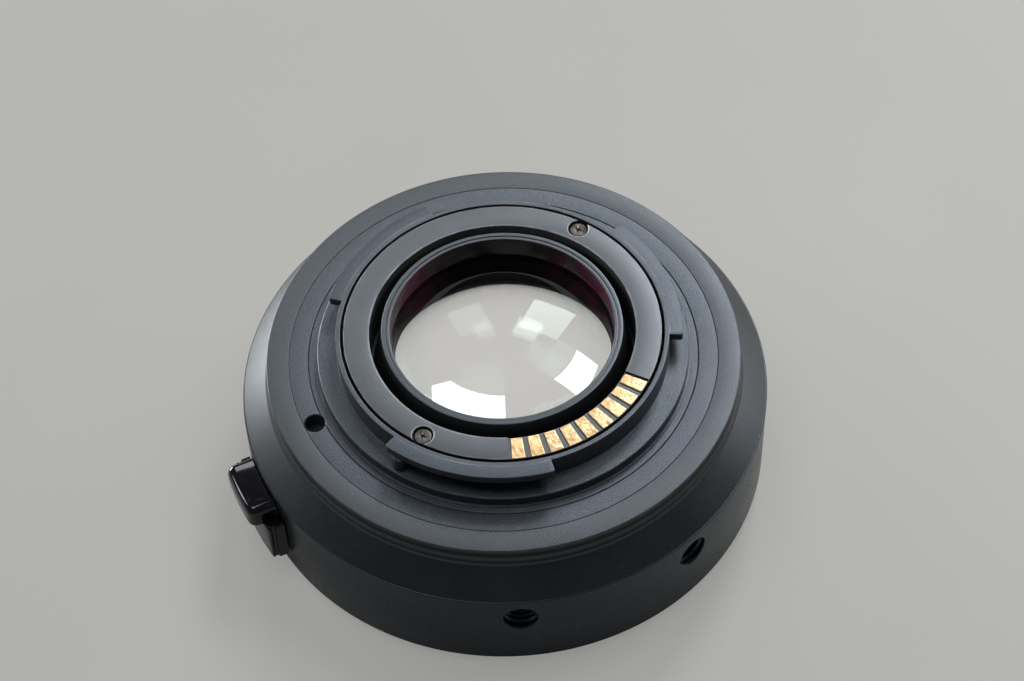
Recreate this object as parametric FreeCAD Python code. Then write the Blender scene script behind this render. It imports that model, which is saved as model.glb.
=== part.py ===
import FreeCAD, Part
import math
import os

# Focal-reducing lens mount adapter, in millimetres.
# The optical axis is Z. Height 0 is the face that the lens seats on, and the
# camera side faces +Z. Angles are counted about +Z from +X, as seen from the camera side.

V = FreeCAD.Vector
ORIGIN = V(0, 0, 0)
UP = V(0, 0, 1)
OUT = V(1, 0, 0)

# Fits
slip = 0.05          # radial gap of a piece that drops into its seat
thread_gap = 0.05    # radial gap between a screw's shank and its tapped hole
clear_hole = 0.15    # radial gap between a screw's shank and its clearance hole
running_gap = 0.06   # radial gap round the sliding lock pin and the contact pins
slide_gap = 0.20     # gap between the lever and the barrel that it slides on
stop_gap = 0.10      # room left when a slider meets its stop
overshoot = 1.0      # how far a cutting tool runs past what it cuts
same = 0.001         # two lengths nearer than this are the same

# Heights of the stack
flange_height = 20.6      # camera flange above the lens seat face
ring_proud = 1.0          # lens ring stands this far out of the barrel
shell_height = 6.3        # upper shell, from the camera flange down to the barrel
web_thick = 3.0           # web of the upper shell
plate_thick = 2.2         # camera mount plate
cone_height = 3.2         # upright height of the shell's cone
shell_bottom = flange_height - shell_height
web_top = flange_height - plate_thick
web_bottom = web_top - web_thick
cone_top = shell_bottom + cone_height

# Screws as (shank radius, head radius, head height)
small_screw = (0.60, 1.20, 0.80)
plate_screw = (0.75, 1.50, 0.90)
cell_screw = (0.60, 0.95, 0.60)
shell_screw = (0.80, 1.30, 1.00)
seat_screw = (0.85, 1.70, 0.85)
liner_screw = (0.60, 1.10, 0.50)
block_screw = (0.50, 0.90, 0.50)
clamp_screw = (0.45, 0.80, 0.50)
recess_width = 0.28       # cross recess, as shares of the head's size
recess_length = 1.30
recess_depth = 0.55
head_sink = 0.10          # heads lie this far below the face round them
ring_head_sink = 0.30     # the same for the two screws of the contact ring
tap_depth = 2.4           # depth of the tapped holes in the upper shell's web
tap_end = 0.3             # room left past a screw's end
mount_tap = 2.8           # depth of the tapped holes in the camera mount plate

# Camera bayonet. Its lugs fit a 47 mm throat, and every other radius follows from theirs
lug_radius = 23.45
lug_height = 1.75         # lugs, outwards from the collar
lug_thick = 1.2
lug_corner = 0.35
lug_spans = ((228.9, 284.3), (354.2, 405.7), (113.5, 164.5))
collar_wall = 0.6
collar_rise = 4.85
collar_radius = lug_radius - lug_height
collar_bore = collar_radius - collar_wall
collar_top = flange_height + collar_rise

# Camera mount plate and its ledge
ledge_width = 2.65
ledge_rise = 1.5
ledge_chamfer = 0.25
ledge_foot = 0.35
ledge_foot_rise = 0.15
step_line_out = 1.25      # fine line, outwards from the ledge
step_line_width = 0.2
step_line_depth = 0.12
plate_width = 3.8         # flange face of the plate, outwards from the ledge
seat_thick = 1.4          # inner seat of the plate that carries the contact ring
seat_inset = 0.57         # its bore, outside the contact ring's bore
lock_hole_radius = 1.33
lock_hole_edge = 0.1      # wall left between the lock hole and the plate's edge
lock_hole_angle = 202.6
stop_pin_radius = 0.8
stop_pin_edge = 0.5       # ledge left outside the stop pin
stop_pin_angle = 233.6
stop_pin_depth = 1.2
plate_screw_angles = (75.0, 180.0, 275.0, 345.0)
ledge_radius = collar_radius + ledge_width
ledge_top = flange_height + ledge_rise
step_line_radius = ledge_radius + step_line_out
plate_radius = ledge_radius + plate_width
recess_radius = plate_radius + slip
seat_top = web_top + seat_thick
lock_hole_circle = plate_radius - lock_hole_edge - lock_hole_radius
stop_pin_circle = ledge_radius - stop_pin_edge - stop_pin_radius

# Upper shell's outside, from the mount plate outwards and down
band_width = 3.05
band_height = 0.9
band_chamfer = 0.2
neck_inset = 0.18         # neck, inwards from the band
neck_height = 1.9         # narrowest place of the neck, below the flange
cone_top_out = 0.4        # top of the cone, outwards from the band
band_radius = plate_radius + band_width
neck_radius = band_radius - neck_inset
cone_top_radius = band_radius + cone_top_out

# Camera contact ring and its pads
contact_gap = 0.4         # gap between the ring and the collar
contact_width = 3.37
contact_rise = 4.9
contact_chamfer = 0.08
pad_count = 9
pad_first = 271.2
pad_pitch = 7.0
pad_width = 4.96
pad_margin = 0.1          # pads stop this far inside both of the ring's edges
pad_thick = 0.4
pad_recess = 0.5
pocket_margin = 0.8       # wall left round the pocket under the pads
pocket_roof = 1.0
ring_screw_inset = 1.2
ring_screw_angles = (56.5, 237.0)
contact_outer = collar_bore - contact_gap
contact_bore = contact_outer - contact_width
contact_top = flange_height + contact_rise
pad_outer = contact_outer - pad_margin
pad_inner = contact_bore + pad_margin
pad_floor = contact_top - pad_recess
ring_screw_radius = contact_outer - ring_screw_inset
seat_bore = contact_bore + seat_inset

# Optical cell, hung from the shell's web
cell_gap = 0.53           # open gap between the cell and the contact ring
cell_top_rise = 0.5       # cell top above the contact ring's top
cell_pilot_step = 0.45    # pilot, outwards from the neck
cell_pilot_rise = 0.4     # end of the pilot above the shell's web
cell_wall = 1.2           # wall round the doublet
cell_rim = 0.55           # wall round the rear element at the top
cell_skirt_wall = 1.6     # wall round the front element
cell_flange_width = 2.1
cell_flange_thick = 1.8
cell_stop_place = 0.2     # stop above the shell's web
cell_stop_thick = 0.8
cell_stop_lip = 2.0       # stop, inwards from the doublet's edge
cell_screw_angles = (70.0, 190.0, 310.0)
cell_neck_radius = contact_bore - cell_gap
cell_pilot_radius = cell_neck_radius + cell_pilot_step
cell_top = contact_top + cell_top_rise
cell_stop_low = web_top + cell_stop_place
cell_stop_high = cell_stop_low + cell_stop_thick
flange_bottom = web_bottom - cell_flange_thick

# Glass, from the camera side to the lens side
rear_glass_curves = (50.0, 36.0)
rear_glass_edge = 3.4
rear_glass_seat = 1.1     # width of its seat on the cell's stop
rear_land_width = 0.45
rear_ring_sink = 0.1
doublet_curves = (60.0, 80.0, 60.0)
doublet_height = 6.0
doublet_split = 1.4       # edge height of its rear half
doublet_land_width = 1.0
front_glass_step = 2.55   # front element's bore, outside the doublet's
front_glass_gap = 3.0     # front element's edge below the doublet's
front_glass_edge = 2.0
front_glass_curves = (90.0, 120.0)
front_land_width = 1.35
front_ring_thick = 1.0
front_ring_sink = 0.2
spanner_slot = 1.2
spacer_lip = 1.0
spacer_step = 0.2         # spacer's lip, outside the doublet's land
doublet_radius = cell_pilot_radius - cell_wall - slip
doublet_land = doublet_radius - doublet_land_width
doublet_low = cell_stop_low - doublet_height
cell_stop_radius = doublet_radius - cell_stop_lip
rear_glass_radius = cell_stop_radius + rear_glass_seat
rear_glass_high = cell_stop_high + rear_glass_edge
rear_bore = rear_glass_radius + slip
rear_land = rear_glass_radius - rear_land_width
cell_top_radius = rear_bore + cell_rim
front_bore = doublet_radius + slip + front_glass_step
front_glass_radius = front_bore - slip
front_glass_high = doublet_low - front_glass_gap
front_glass_low = front_glass_high - front_glass_edge
front_ring_bottom = front_glass_low - front_ring_thick
front_land = front_glass_radius - front_land_width
cell_front_height = front_ring_bottom - front_ring_sink
cell_body_radius = front_bore + cell_skirt_wall
cell_flange_radius = cell_body_radius + cell_flange_width
cell_screw_circle = (cell_body_radius + cell_flange_radius) / 2

# Circuit board and inner liner, outside the cell
board_drop = 4.2          # board below the shell's web
board_thick = 1.0
board_post_radius = 1.7
board_post_angles = (20.0, 130.0, 250.0)
board_inset = 0.2         # board's edge, inside the liner's outside
board_bore_step = 0.4     # board's bore, outside the liner's
chips = ((35.0, 3.6, 3.6, 1.0), (80.0, 4.2, 2.4, 0.9), (165.0, 3.0, 1.8, 1.1), (215.0, 3.8, 3.0, 1.2))
liner_drop = 1.6          # top of the liner's floor, below the board
liner_floor = 1.0
liner_wall = 0.7
liner_cell_gap = 0.4
liner_flange_width = 1.4
liner_flange_thick = 0.8
board_bottom = web_bottom - board_drop
board_top = board_bottom + board_thick
board_post_circle = cell_flange_radius + slide_gap + board_post_radius
liner_floor_top = board_bottom - liner_drop
liner_floor_bottom = liner_floor_top - liner_floor
liner_bore = cell_body_radius + liner_cell_gap

# Lens contact block, its pins and the flat cables
block_angle = 292.0
block_sweep = 52.0
block_inset = 0.6         # block, outwards from the liner's bore
block_width = 4.1
block_gap = 0.6           # gap between the block and the liner's wall
block_face_wall = 0.8
block_screw_offsets = (-22.0, 5.5)
pin_inset = 1.9           # pins, inwards from the block's outside
pin_offsets = (-17.0, -12.5, -8.0, -3.5, 1.0, 10.0, 14.5, 19.0)
contact_pin_radius = 0.5
contact_pin_chamfer = 0.2
contact_pin_reach = 1.0
contact_pin_travel = 0.9
contact_pin_collar = 0.75
pin_collar_thick = 0.5
pin_spring_wire = 0.11
pin_spring_turns = 2.5
pin_spring_sides = 4
pin_spring_pressed = 1.5  # height of a pin's spring when its pin is pressed
flex_width = 6.0
flex_thick = 0.15
flex_bend = 0.5
flex_angle = 301.7
flex_side_gap = 0.4       # room beside the cable in its slots
flex_face_gap = 0.6       # room before and behind it
flex_clear = 1.1          # climb of the camera cable, outside the cell's flange
flex_channel_high = 0.9   # height of its channel under the mount plate
flex_level = 0.35         # height of its level run above the shell's web
flex_end_gap = 0.4        # room above its end, in the pocket under the pads
flex_block_gap = 0.2      # lens cable, outside the contact block
flex_start = 1.2          # its lower end, above the block's face
block_inner = liner_bore + block_inset
block_outer = block_inner + block_width
block_height = block_face_wall + pin_collar_thick + contact_pin_travel + pin_spring_pressed
block_face = liner_floor_bottom - block_height
pin_circle = block_outer - pin_inset
pin_tip = block_face - contact_pin_reach
pin_collar_low = block_face + block_face_wall
pin_collar_high = pin_collar_low + pin_collar_thick
liner_radius = block_outer + block_gap + liner_wall
board_radius = liner_radius - board_inset
board_bore = liner_bore + board_bore_step

# Lens mount ring, whose throat is that of a 54 mm bayonet
throat_gap = 0.4          # throat, outside the liner
throat_sleeve = 0.5
seat_lug_height = 1.6
seat_lug_low = 0.1
seat_lug_thick = 1.5
seat_lug_centres = (20.0, 140.0, 260.0)
seat_lug_sweep = 56.0
seat_ring_width = 5.5
seat_ring_thick = 2.4
seat_chamfer = 0.3
seat_screw_inset = 2.5
seat_screw_angles = (25.0, 90.0, 165.0, 262.0)
lug_spring_thick = 0.3
lug_spring_width = 0.9
lug_spring_sweep = 40.0
lug_spring_bow = 1.1
index_inset = 2.7
index_angle = 112.7
index_radius = 1.3
index_depth = 0.5
throat_radius = liner_radius + throat_gap
liner_flange_radius = liner_radius + liner_flange_width
seat_lug_radius = throat_radius - seat_lug_height
seat_ring_radius = throat_radius + seat_ring_width
seat_screw_circle = seat_ring_radius - seat_screw_inset
index_circle = seat_ring_radius - index_inset

# Barrel
barrel_margin = 2.4       # barrel, outside the lens mount ring
barrel_wall = 2.0
barrel_chamfer = 0.3
barrel_web_thick = 2.0
seam_groove = 0.1
rim_width = 1.3           # rim under the shell, inwards from the wall
rim_height = 0.9
lip_height = 1.0
side_index_height = 8.0
post_inset = 3.7          # screw posts, inwards from the wall
post_radius = 2.0
post_angles = (60.0, 150.0, 240.0, 340.0)
foot_hole_radius = 2.2
foot_hole_drop = 3.8      # foot holes below the upper shell
foot_hole_angles = (271.1, 311.6)
foot_boss_wall = 0.8
foot_boss_depth = 2.7
barrel_radius = seat_ring_radius + barrel_margin
barrel_inner = barrel_radius - barrel_wall
barrel_web_top = seat_ring_thick + barrel_web_thick
rim_inner_radius = barrel_inner - rim_width
lip_radius = barrel_inner + slip
post_circle = barrel_inner - post_inset
foot_hole_height = shell_bottom - foot_hole_drop

# Release lever, its carrier, pin and spring
lever_angle = 202.9
lock_pin_inset = 2.9      # lock pin, inwards from the lens ring's outside
lock_pin_radius = 1.25
lock_pin_tip = 0.3
lock_pin_guide = 0.9
lock_pin_end = 3.2        # end of its spring guide, below the shell's web
release_down = 1.8
release_up = 0.4
carrier_thick = 1.5
carrier_half_width = 2.4
tongue_thick = 1.5
tongue_inset = 1.55       # end of the tongue, inwards from the barrel's wall
tongue_root = 0.6         # how far the tongue runs into the lever
clamp_screw_inset = 0.9
window_side_gap = 0.3
pad_stand = 3.8           # thumb pad, outwards from the barrel
pad_half_width = 4.35
pad_drop = 1.2            # top of the pad, below the upper shell
pad_height = 3.9
pad_round = 1.1
base_stand = 2.3
base_half_width = 6.1
base_drop = 2.7           # top of the base, below the pad's
base_height = 6.6
base_round = 0.5
base_groove = 0.35
release_spring_radius = 1.35
release_spring_wire = 0.2
release_spring_turns = 5.0
release_spring_sides = 6
lock_pin_circle = seat_ring_radius - lock_pin_inset
lock_pin_top = web_bottom - lock_pin_end
carrier_low = barrel_web_top + release_down + stop_gap
carrier_high = carrier_low + carrier_thick
tongue_high = carrier_high + tongue_thick
tongue_inner = barrel_inner - tongue_inset
clamp_screw_circle = barrel_inner - clamp_screw_inset
lever_inner = barrel_radius + slide_gap
pad_reach = barrel_radius + pad_stand
pad_high = shell_bottom - pad_drop
pad_low = pad_high - pad_height
base_reach = barrel_radius + base_stand
base_high = pad_high - base_drop
base_low = base_high - base_height


def place(radius, angle, height=0.0):
    """Point at a radius and an angle about the optical axis."""
    turn = math.radians(angle)
    return V(radius * math.cos(turn), radius * math.sin(turn), height)


def lathe(outline):
    """Solid turned about the axis. A stop is (radius, height), or (middle, end) for an arc."""
    def at(point):
        return V(point[0], 0, point[1])

    edges = []
    here = outline[0]
    for stop in outline[1:] + outline[:1]:
        if isinstance(stop[0], tuple):
            middle, end = stop
            edges.append(Part.Arc(at(here), at(middle), at(end)).toShape())
        else:
            end = stop
            edges.append(Part.LineSegment(at(here), at(end)).toShape())
        here = end
    return Part.Face(Part.Wire(edges)).revolve(ORIGIN, UP, 360)


def tube(inner, outer, low, high):
    """Plain ring about the axis."""
    return lathe([(inner, low), (outer, low), (outer, high), (inner, high)])


def sector(inner, outer, low, high, start, end):
    """Piece of a ring between two angles."""
    wedge = Part.makeCylinder(outer, high - low, V(0, 0, low), UP, end - start)
    wedge.rotate(ORIGIN, UP, start)
    return wedge.cut(Part.makeCylinder(inner, high - low, V(0, 0, low)))


def rod(radius, low, high, circle, angle):
    """Upright cylinder at a place on a circle about the axis."""
    return Part.makeCylinder(radius, high - low, place(circle, angle, low), UP)


def rods(radius, low, high, circle, angles):
    """Upright cylinders at several angles of one circle."""
    return [rod(radius, low, high, circle, angle) for angle in angles]


def block(x_low, x_high, half_width, low, high):
    """Box along +X, centred across it."""
    return Part.makeBox(x_high - x_low, 2 * half_width, high - low, V(x_low, -half_width, low))


def turned(shape, angle):
    """The same shape turned about the axis."""
    shape.rotate(ORIGIN, UP, angle)
    return shape


def sag(curve, radius):
    """Depth of a spherical surface at a radius from its centre."""
    return curve - math.sqrt(curve * curve - radius * radius)


def coil(radius, wire, sides, low, high, turns, circle, angle):
    """Coil spring that stands between two heights, its fine wire cut to a few flat sides."""
    rise = high - low - 2 * wire
    helix = Part.makeHelix(rise / turns, rise, radius)
    corners = []
    for side in range(sides):
        turn = 2 * math.pi * side / sides
        corners.append(V(radius + wire * math.cos(turn), 0, wire * math.sin(turn)))
    section = Part.makePolygon(corners + corners[:1])
    spring = Part.Wire(helix).makePipeShell([section], True, True)
    spring.translate(place(circle, angle, low + wire))
    return spring


def screw(size, seat, length, circle, angle, head_up=True):
    """Pan-head screw whose head sits on a height, with a cross recess in its head."""
    shank, head, head_height = size
    body = Part.makeCylinder(shank, length, V(0, 0, -length), UP)
    top = Part.makeCylinder(head, head_height, ORIGIN, UP)
    body = body.fuse(top)
    width = recess_width * head
    span = recess_length * head
    depth = recess_depth * head_height
    slot = Part.makeBox(span, width, depth, V(-span / 2, -width / 2, head_height - depth))
    cross = slot.copy()
    cross.rotate(ORIGIN, UP, 90)
    body = body.cut(slot.fuse(cross)).removeSplitter()
    if not head_up:
        body.rotate(ORIGIN, OUT, 180)
    body.rotate(ORIGIN, UP, angle)
    body.translate(place(circle, angle, seat))
    return body


def lower_barrel():
    """Cylindrical lower body with the lens ring's seat, screw posts and foot holes."""
    seat = seat_ring_radius + slip
    body = lathe([
        (seat, ring_proud),
        (barrel_radius - barrel_chamfer, ring_proud),
        (barrel_radius, ring_proud + barrel_chamfer),
        (barrel_radius, shell_bottom - seam_groove),
        (barrel_radius - seam_groove, shell_bottom),
        (lip_radius, shell_bottom),
        (lip_radius, shell_bottom + lip_height),
        (rim_inner_radius, shell_bottom + lip_height),
        (rim_inner_radius, shell_bottom - rim_height),
        (barrel_inner, shell_bottom - rim_height),
        (barrel_inner, barrel_web_top),
        (throat_radius + throat_sleeve + slip, barrel_web_top),
        (throat_radius + throat_sleeve + slip, seat_ring_thick),
        (seat, seat_ring_thick),
    ])
    body = body.fuse(rods(post_radius, barrel_web_top, web_bottom, post_circle, post_angles))
    body = body.fuse([foot_boss(angle) for angle in foot_hole_angles])
    shank, head, head_height = shell_screw
    cuts = rods(shank + clear_hole, seat_ring_thick, web_bottom, post_circle, post_angles)
    cuts += rods(head + clear_hole, seat_ring_thick, seat_ring_thick + head_height + head_sink,
                 post_circle, post_angles)
    cuts += rods(seat_screw[0] + thread_gap, seat_ring_thick, barrel_web_top,
                 seat_screw_circle, seat_screw_angles)
    cuts += [foot_hole(angle) for angle in foot_hole_angles]
    cuts.append(rod(lock_pin_radius + clear_hole, seat_ring_thick, barrel_web_top,
                    lock_pin_circle, lever_angle))
    cuts.append(lever_window())
    cuts.append(side_index(index_radius + slip))
    return body.cut(cuts).removeSplitter()


def foot_boss(angle):
    """Round boss behind a foot hole, on the inside of the barrel's wall."""
    depth = foot_boss_depth + barrel_wall / 2
    start = barrel_inner - foot_boss_depth
    boss = Part.makeCylinder(foot_hole_radius + foot_boss_wall, depth,
                             V(start, 0, foot_hole_height), OUT)
    return turned(boss, angle)


def foot_hole(angle):
    """Tapped radial hole that a tripod foot is screwed to."""
    start = barrel_inner - foot_boss_depth - overshoot
    hole = Part.makeCylinder(foot_hole_radius, barrel_radius + overshoot - start,
                             V(start, 0, foot_hole_height), OUT)
    return turned(hole, angle)


def lever_window():
    """Slot in the barrel's wall that the lever's tongue slides in."""
    low = carrier_low - release_down - stop_gap / 2
    high = tongue_high + clamp_screw[2] + release_up + stop_gap
    half_width = carrier_half_width + window_side_gap
    start = barrel_inner - overshoot
    return turned(block(start, barrel_radius + overshoot, half_width, low, high), lever_angle)


def side_index(radius):
    """Round inlay for the camera index, set in the barrel's side."""
    start = V(barrel_radius - index_depth, 0, side_index_height)
    dot = Part.makeCylinder(radius, index_depth, start, OUT)
    return turned(dot, index_angle)


def camera_index_dot():
    """Index mark for the camera side, flush with the barrel."""
    barrel = Part.makeCylinder(barrel_radius - head_sink, flange_height)
    return side_index(index_radius).common(barrel)


def upper_shell():
    """Conical upper body whose web carries the mount plate, the cell and the board."""
    body = lathe([
        (cell_pilot_radius + slip, web_bottom),
        (lip_radius + slip, web_bottom),
        (lip_radius + slip, shell_bottom),
        (barrel_radius - seam_groove, shell_bottom),
        (cone_top_radius, cone_top),
        ((neck_radius, flange_height - neck_height), (band_radius, flange_height - band_height)),
        (band_radius, flange_height - band_chamfer),
        (band_radius - band_chamfer, flange_height),
        (recess_radius, flange_height),
        (recess_radius, web_top),
        (cell_pilot_radius + slip, web_top),
    ])
    posts = rods(board_post_radius, board_top, web_bottom, board_post_circle, board_post_angles)
    body = body.fuse(posts)
    tapped = web_bottom + tap_depth
    cuts = rods(shell_screw[0] + thread_gap, web_bottom, tapped, post_circle, post_angles)
    cuts += rods(cell_screw[0] + thread_gap, web_bottom, tapped, cell_screw_circle, cell_screw_angles)
    cuts += rods(liner_screw[0] + thread_gap, board_top, web_bottom, board_post_circle, board_post_angles)
    cuts += rods(plate_screw[0] + clear_hole, web_bottom, web_top, plate_screw_circle(), plate_screw_angles)
    cuts += rods(plate_screw[1] + clear_hole, web_bottom, web_bottom + plate_screw[2] + head_sink,
                 plate_screw_circle(), plate_screw_angles)
    cuts.append(flex_slot(web_bottom, web_top))
    return body.cut(cuts).removeSplitter()


def plate_screw_circle():
    """Circle of the hidden mount plate screws, midway in the ledge."""
    return (ledge_radius + collar_radius) / 2


def flex_rise():
    """Radius at which the camera cable climbs from the board."""
    return cell_flange_radius + flex_clear


def flex_slot(low, high):
    """Slot in the shell's web for the camera cable."""
    half_width = flex_width / 2 + flex_side_gap
    near = flex_rise() - flex_face_gap
    far = flex_rise() + flex_thick + flex_face_gap
    return turned(block(near, far, half_width, low, high), flex_angle)


def camera_mount():
    """Bayonet plate with its ledge, collar and three lugs."""
    foot = ledge_radius + ledge_foot
    line_in = step_line_radius - step_line_width / 2
    line_out = step_line_radius + step_line_width / 2
    body = lathe([
        (seat_bore, web_top),
        (plate_radius, web_top),
        (plate_radius, flange_height),
        (line_out, flange_height),
        (step_line_radius, flange_height - step_line_depth),
        (line_in, flange_height),
        (foot, flange_height),
        (foot, flange_height + ledge_foot_rise),
        (ledge_radius, flange_height + ledge_foot_rise),
        (ledge_radius, ledge_top - ledge_chamfer),
        (ledge_radius - ledge_chamfer, ledge_top),
        (collar_radius, ledge_top),
        (collar_radius, collar_top),
        (collar_bore, collar_top),
        (collar_bore, seat_top),
        (seat_bore, seat_top),
    ])
    body = body.fuse([lug(start, end) for start, end in lug_spans])
    cuts = rods(small_screw[0] + thread_gap, web_top, seat_top, ring_screw_radius, ring_screw_angles)
    cuts += rods(plate_screw[0] + thread_gap, web_top, web_top + mount_tap,
                 plate_screw_circle(), plate_screw_angles)
    cuts.append(rod(lock_hole_radius, web_top, flange_height, lock_hole_circle, lock_hole_angle))
    cuts.append(rod(stop_pin_radius + slip, ledge_top - stop_pin_depth, ledge_top,
                    stop_pin_circle, stop_pin_angle))
    cuts.append(flex_channel())
    return body.cut(cuts).removeSplitter()


def lug(start, end):
    """One bayonet lug, with its outer corners rounded."""
    low = collar_top - lug_thick
    piece = sector(collar_radius - lug_corner, lug_radius, low, collar_top, start, end)
    corners = [edge for edge in piece.Edges if is_outer_upright(edge, lug_radius)]
    return piece.makeFillet(lug_corner, corners)


def is_outer_upright(edge, radius):
    """True for a straight upright edge on a radius."""
    first, last = edge.Vertexes[0].Point, edge.Vertexes[-1].Point
    upright = abs(first.z - last.z) > same and math.hypot(first.x - last.x, first.y - last.y) < same
    return upright and abs(math.hypot(first.x, first.y) - radius) < same


def flex_channel():
    """Channel under the plate and up through its seat, for the camera cable."""
    half_width = flex_width / 2 + flex_side_gap
    inner = (contact_bore + contact_outer) / 2 - flex_face_gap
    outer = flex_rise() + flex_thick + flex_face_gap
    along = block(inner, outer, half_width, web_top, web_top + flex_channel_high)
    climb = block(inner, inner + 2 * flex_face_gap, half_width, web_top, seat_top)
    return turned(along.fuse(climb), flex_angle)


def mount_stop_pin():
    """Pin on the ledge that stops the turn in the camera's bayonet."""
    top = collar_top - lug_thick - head_sink
    return rod(stop_pin_radius, ledge_top - stop_pin_depth, top, stop_pin_circle, stop_pin_angle)


def camera_mount_screws():
    """Hidden screws that hold the mount plate, put in from the lens side."""
    seat = web_bottom + plate_screw[2] + head_sink
    length = web_top + mount_tap - tap_end - seat
    return [screw(plate_screw, seat, length, plate_screw_circle(), angle, False)
            for angle in plate_screw_angles]


def pad_angles():
    """Start and end angle of each camera contact pad."""
    starts = [pad_first + index * pad_pitch for index in range(pad_count)]
    return [(start, start + pad_width) for start in starts]


def camera_contact_ring():
    """Moulded ring inside the collar that carries the camera contacts."""
    body = lathe([
        (contact_bore, seat_top),
        (contact_outer, seat_top),
        (contact_outer, contact_top),
        (contact_bore + contact_chamfer, contact_top),
        (contact_bore, contact_top - contact_chamfer),
    ])
    head = small_screw[1] + clear_hole
    head_floor = contact_top - small_screw[2] - ring_head_sink
    margin = (pad_pitch - pad_width) / 2
    start = pad_angles()[0][0] - margin
    end = pad_angles()[-1][1] + margin
    cuts = rods(small_screw[0] + clear_hole, seat_top, contact_top, ring_screw_radius, ring_screw_angles)
    cuts += rods(head, head_floor, contact_top, ring_screw_radius, ring_screw_angles)
    cuts.append(sector(contact_bore - overshoot, pad_outer + slip, pad_floor, contact_top, start, end))
    cuts.append(sector(contact_bore + pocket_margin, contact_outer - pocket_margin,
                       seat_top, pad_floor - pocket_roof, start, end))
    return body.cut(cuts).removeSplitter()


def camera_contact_pads():
    """Gold pads, set in the ring's recess."""
    return [sector(pad_inner, pad_outer, pad_floor, pad_floor + pad_thick, start, end)
            for start, end in pad_angles()]


def contact_ring_screws():
    """Two small screws in the contact ring's counterbores."""
    seat = contact_top - small_screw[2] - ring_head_sink
    length = seat - web_top
    return [screw(small_screw, seat, length, ring_screw_radius, angle) for angle in ring_screw_angles]


def lens_cell():
    """Tube that holds the glass, bolted under the shell's web by its flange."""
    body = lathe([
        (front_bore, cell_front_height),
        (cell_body_radius, cell_front_height),
        (cell_body_radius, flange_bottom),
        (cell_flange_radius, flange_bottom),
        (cell_flange_radius, web_bottom),
        (cell_pilot_radius, web_bottom),
        (cell_pilot_radius, web_top),
        (cell_neck_radius, web_top + cell_pilot_rise),
        (cell_top_radius, cell_top),
        (rear_bore, cell_top),
        (rear_bore, cell_stop_high),
        (cell_stop_radius, cell_stop_high),
        (cell_stop_radius, cell_stop_low),
        (doublet_radius + slip, cell_stop_low),
        (doublet_radius + slip, doublet_low),
        (front_bore, doublet_low),
    ])
    cuts = rods(cell_screw[0] + clear_hole, flange_bottom, web_bottom, cell_screw_circle, cell_screw_angles)
    return body.cut(cuts).removeSplitter()


def cell_screws():
    """Screws that hold the cell's flange to the shell's web."""
    length = cell_flange_thick + tap_depth - tap_end
    return [screw(cell_screw, flange_bottom, length, cell_screw_circle, angle, False)
            for angle in cell_screw_angles]


def surface_middle(curve, land, vertex, toward):
    """Point halfway along a spherical surface from its centre to its land."""
    half = land / 2
    return (half, vertex + toward * sag(curve, half))


def front_element():
    """Positive meniscus on the lens side."""
    front, back = front_glass_curves
    front_vertex = front_glass_low - sag(front, front_land)
    back_vertex = front_glass_high - sag(back, front_land)
    return lathe([
        (0, front_vertex),
        (surface_middle(front, front_land, front_vertex, 1), (front_land, front_glass_low)),
        (front_glass_radius, front_glass_low),
        (front_glass_radius, front_glass_high),
        (front_land, front_glass_high),
        (surface_middle(back, front_land, back_vertex, 1), (0, back_vertex)),
    ])


def doublet_front():
    """Front half of the cemented doublet, hollow on both of its sides."""
    front, joint, back = doublet_curves
    joint_edge = cell_stop_low - doublet_split
    front_vertex = doublet_low + sag(front, doublet_land)
    joint_vertex = joint_edge - sag(joint, doublet_radius)
    return lathe([
        (0, front_vertex),
        (surface_middle(front, doublet_land, front_vertex, -1), (doublet_land, doublet_low)),
        (doublet_radius, doublet_low),
        (doublet_radius, joint_edge),
        (surface_middle(joint, doublet_radius, joint_vertex, 1), (0, joint_vertex)),
    ])


def doublet_rear():
    """Rear half of the cemented doublet, bulging through the cell's stop."""
    front, joint, back = doublet_curves
    joint_edge = cell_stop_low - doublet_split
    joint_vertex = joint_edge - sag(joint, doublet_radius)
    land = cell_stop_radius - slip
    back_vertex = cell_stop_low + sag(back, land)
    return lathe([
        (0, joint_vertex),
        (surface_middle(joint, doublet_radius, joint_vertex, 1), (doublet_radius, joint_edge)),
        (doublet_radius, cell_stop_low),
        (land, cell_stop_low),
        (surface_middle(back, land, back_vertex, -1), (0, back_vertex)),
    ])


def rear_element():
    """Positive glass on the camera side."""
    front, back = rear_glass_curves
    land = cell_stop_radius - slip
    front_vertex = cell_stop_high + sag(front, land)
    back_vertex = rear_glass_high + sag(back, rear_land)
    return lathe([
        (0, front_vertex),
        (surface_middle(front, land, front_vertex, -1), (land, cell_stop_high)),
        (rear_glass_radius, cell_stop_high),
        (rear_glass_radius, rear_glass_high),
        (rear_land, rear_glass_high),
        (surface_middle(back, rear_land, back_vertex, -1), (0, back_vertex)),
    ])


def lens_spacer():
    """Stepped spacer that seats the doublet and the front element."""
    step = doublet_low - spacer_lip
    return lathe([
        (front_land, front_glass_high),
        (front_glass_radius, front_glass_high),
        (front_glass_radius, doublet_low),
        (doublet_land + spacer_step, doublet_low),
        (doublet_land + spacer_step, step),
        (front_land, step),
    ])


def rear_retaining_ring():
    """Threaded ring over the rear element."""
    return tube(rear_land, rear_glass_radius, rear_glass_high, cell_top - rear_ring_sink)


def front_retaining_ring():
    """Threaded ring over the front element, with two spanner slots."""
    ring = tube(front_land, front_glass_radius, front_ring_bottom, front_glass_low)
    reach = front_glass_radius + overshoot
    corner = V(-reach, -spanner_slot / 2, front_ring_bottom)
    slot = Part.makeBox(2 * reach, spanner_slot, front_ring_thick / 2, corner)
    return ring.cut(slot).removeSplitter()


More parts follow.
